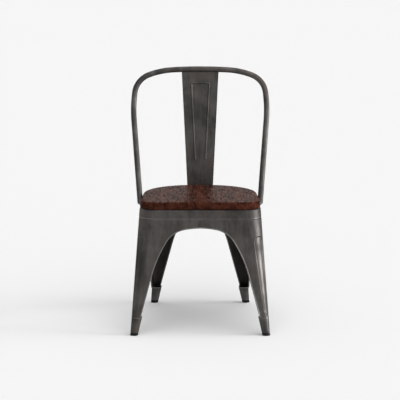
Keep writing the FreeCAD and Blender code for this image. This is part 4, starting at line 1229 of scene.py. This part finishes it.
def build_floor():
    """Wide pale floor that keeps the chair's shadow."""
    mesh = bpy.data.meshes.new("studio_floor")
    corners = [(x * FLOOR_REACH, y * FLOOR_REACH, 0) for x, y in ((-1, -1), (1, -1), (1, 1), (-1, 1))]
    mesh.from_pydata(corners, [], [(0, 1, 2, 3)])
    floor = bpy.data.objects.new("studio_floor", mesh)
    bpy.context.scene.collection.objects.link(floor)
    material = bpy.data.materials.new("pale_floor")
    _, shader = nodes_of(material)
    shader.inputs["Base Color"].default_value = (FLOOR_TONE, FLOOR_TONE, FLOOR_TONE, 1)
    shader.inputs["Roughness"].default_value = 1.0
    shader.inputs["Specular IOR Level"].default_value = 0.0
    mesh.materials.append(material)


def build_sun(name, strength, spread_degrees, towards):
    data = bpy.data.lights.new(name, "SUN")
    data.energy = strength
    data.angle = math.radians(spread_degrees)
    lamp = bpy.data.objects.new(name, data)
    bpy.context.scene.collection.objects.link(lamp)
    lamp.rotation_mode = "QUATERNION"
    lamp.rotation_quaternion = Vector(towards).to_track_quat("-Z", "Y")


# Operators

CORNERS = (
    (FRONT, "front", "left"),
    (FRONT, "front", "right"),
    (REAR, "rear", "left"),
    (REAR, "rear", "right"),
)


class ChairStageOperator(bpy.types.Operator):
    """Set up the camera, the pale floor and the studio light"""
    bl_idname = "bistro_chair.stage"
    bl_label = "Stage"

    def execute(self, context):
        stage = context.scene.chair_stage
        context.scene.view_settings.view_transform = "Standard"
        build_camera(stage)
        build_world(stage)
        build_floor()
        for name, setting, width, towards in SUNS:
            build_sun(name, getattr(stage, setting), width, towards)
        return {"FINISHED"}


class ChairLegsOperator(bpy.types.Operator):
    """Build the four pressed legs with their flutes and rolled hems"""
    bl_idname = "bistro_chair.legs"
    bl_label = "Legs"

    def execute(self, context):
        for corner, end, side in CORNERS:
            build_leg("pressed_%s_%s_leg" % (end, side), corner, side == "left")
        return {"FINISHED"}


class ChairPanOperator(bpy.types.Operator):
    """Build the pressed pan under the board"""
    bl_idname = "bistro_chair.pan"
    bl_label = "Pan"

    def execute(self, context):
        build_pan()
        return {"FINISHED"}


class ChairBoardOperator(bpy.types.Operator):
    """Build the glued wooden board"""
    bl_idname = "bistro_chair.board"
    bl_label = "Board"

    def execute(self, context):
        joints = [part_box("seat_stave_%d" % n)[1].x for n in (1, 2, 3)]
        stops = [None] + joints + [None]
        for number, (low, high) in enumerate(zip(stops, stops[1:]), 1):
            build_stave(number, low, high)
        return {"FINISHED"}


class ChairHoopOperator(bpy.types.Operator):
    """Build the bent tube of the back"""
    bl_idname = "bistro_chair.hoop"
    bl_label = "Hoop"

    def execute(self, context):
        build_hoop()
        return {"FINISHED"}


class ChairSplatOperator(bpy.types.Operator):
    """Build the splat with its bead"""
    bl_idname = "bistro_chair.splat"
    bl_label = "Splat"

    def execute(self, context):
        build_splat()
        return {"FINISHED"}


class ChairFeetOperator(bpy.types.Operator):
    """Build the four rubber feet"""
    bl_idname = "bistro_chair.feet"
    bl_label = "Feet"

    def execute(self, context):
        for corner, end, side in CORNERS:
            build_foot("rubber_%s_%s_foot" % (end, side), corner, side == "left")
        return {"FINISHED"}


class ChairHardwareOperator(bpy.types.Operator):
    """Finish the brace, its pads, the plugs and the seat's fixings, which keep their CAD shapes"""
    bl_idname = "bistro_chair.hardware"
    bl_label = "Brace and hardware"

    def execute(self, context):
        finishes = {"brace_strap_lower": "lacquered_steel", "brace_strap_upper": "lacquered_steel",
                    "brace_pads": "black_rubber", "hoop_plug_left": "black_plastic",
                    "hoop_plug_right": "black_plastic", "seat_bolts": "zinc_plate",
                    "seat_washers": "zinc_plate", "seat_inserts": "turned_brass"}
        for node, name in finishes.items():
            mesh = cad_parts[node].data
            mesh.materials.clear()
            mesh.materials.append(finish(name))
        return {"FINISHED"}


GROUPS = {
    "chair_base": ChairBaseSizes,
    "chair_arches": ChairArchSizes,
    "chair_back": ChairBackSizes,
    "chair_board": ChairBoardSizes,
    "chair_finish": ChairFinish,
    "chair_stage": ChairStage,
}
OPERATORS = (ChairStageOperator, ChairLegsOperator, ChairPanOperator, ChairBoardOperator, ChairHoopOperator,
             ChairSplatOperator, ChairFeetOperator, ChairHardwareOperator)


class ChairPanel(bpy.types.Panel):
    """Lists the sizes and the steps that build the chair"""
    bl_idname = "VIEW3D_PT_bistro_chair"
    bl_label = "Bistro Chair"
    bl_space_type = "VIEW_3D"
    bl_region_type = "UI"
    bl_category = "Bistro Chair"

    def draw(self, context):
        layout = self.layout
        for operator in OPERATORS:
            layout.operator(operator.bl_idname)
        for key, group in GROUPS.items():
            box = layout.box()
            box.label(text=group.__doc__.rstrip("."))
            for name in group.__annotations__:
                box.prop(getattr(context.scene, key), name)


def register():
    for cls in (*GROUPS.values(), *OPERATORS, ChairPanel):
        bpy.utils.register_class(cls)
    for key, group in GROUPS.items():
        setattr(bpy.types.Scene, key, bpy.props.PointerProperty(type=group))


def unregister():
    for key in GROUPS:
        delattr(bpy.types.Scene, key)
    for cls in reversed((*GROUPS.values(), *OPERATORS, ChairPanel)):
        bpy.utils.unregister_class(cls)


def main():
    register()
    for operator in OPERATORS:
        group, name = operator.bl_idname.split(".")
        getattr(getattr(bpy.ops, group), name)()


if __name__ == "__main__":
    main()
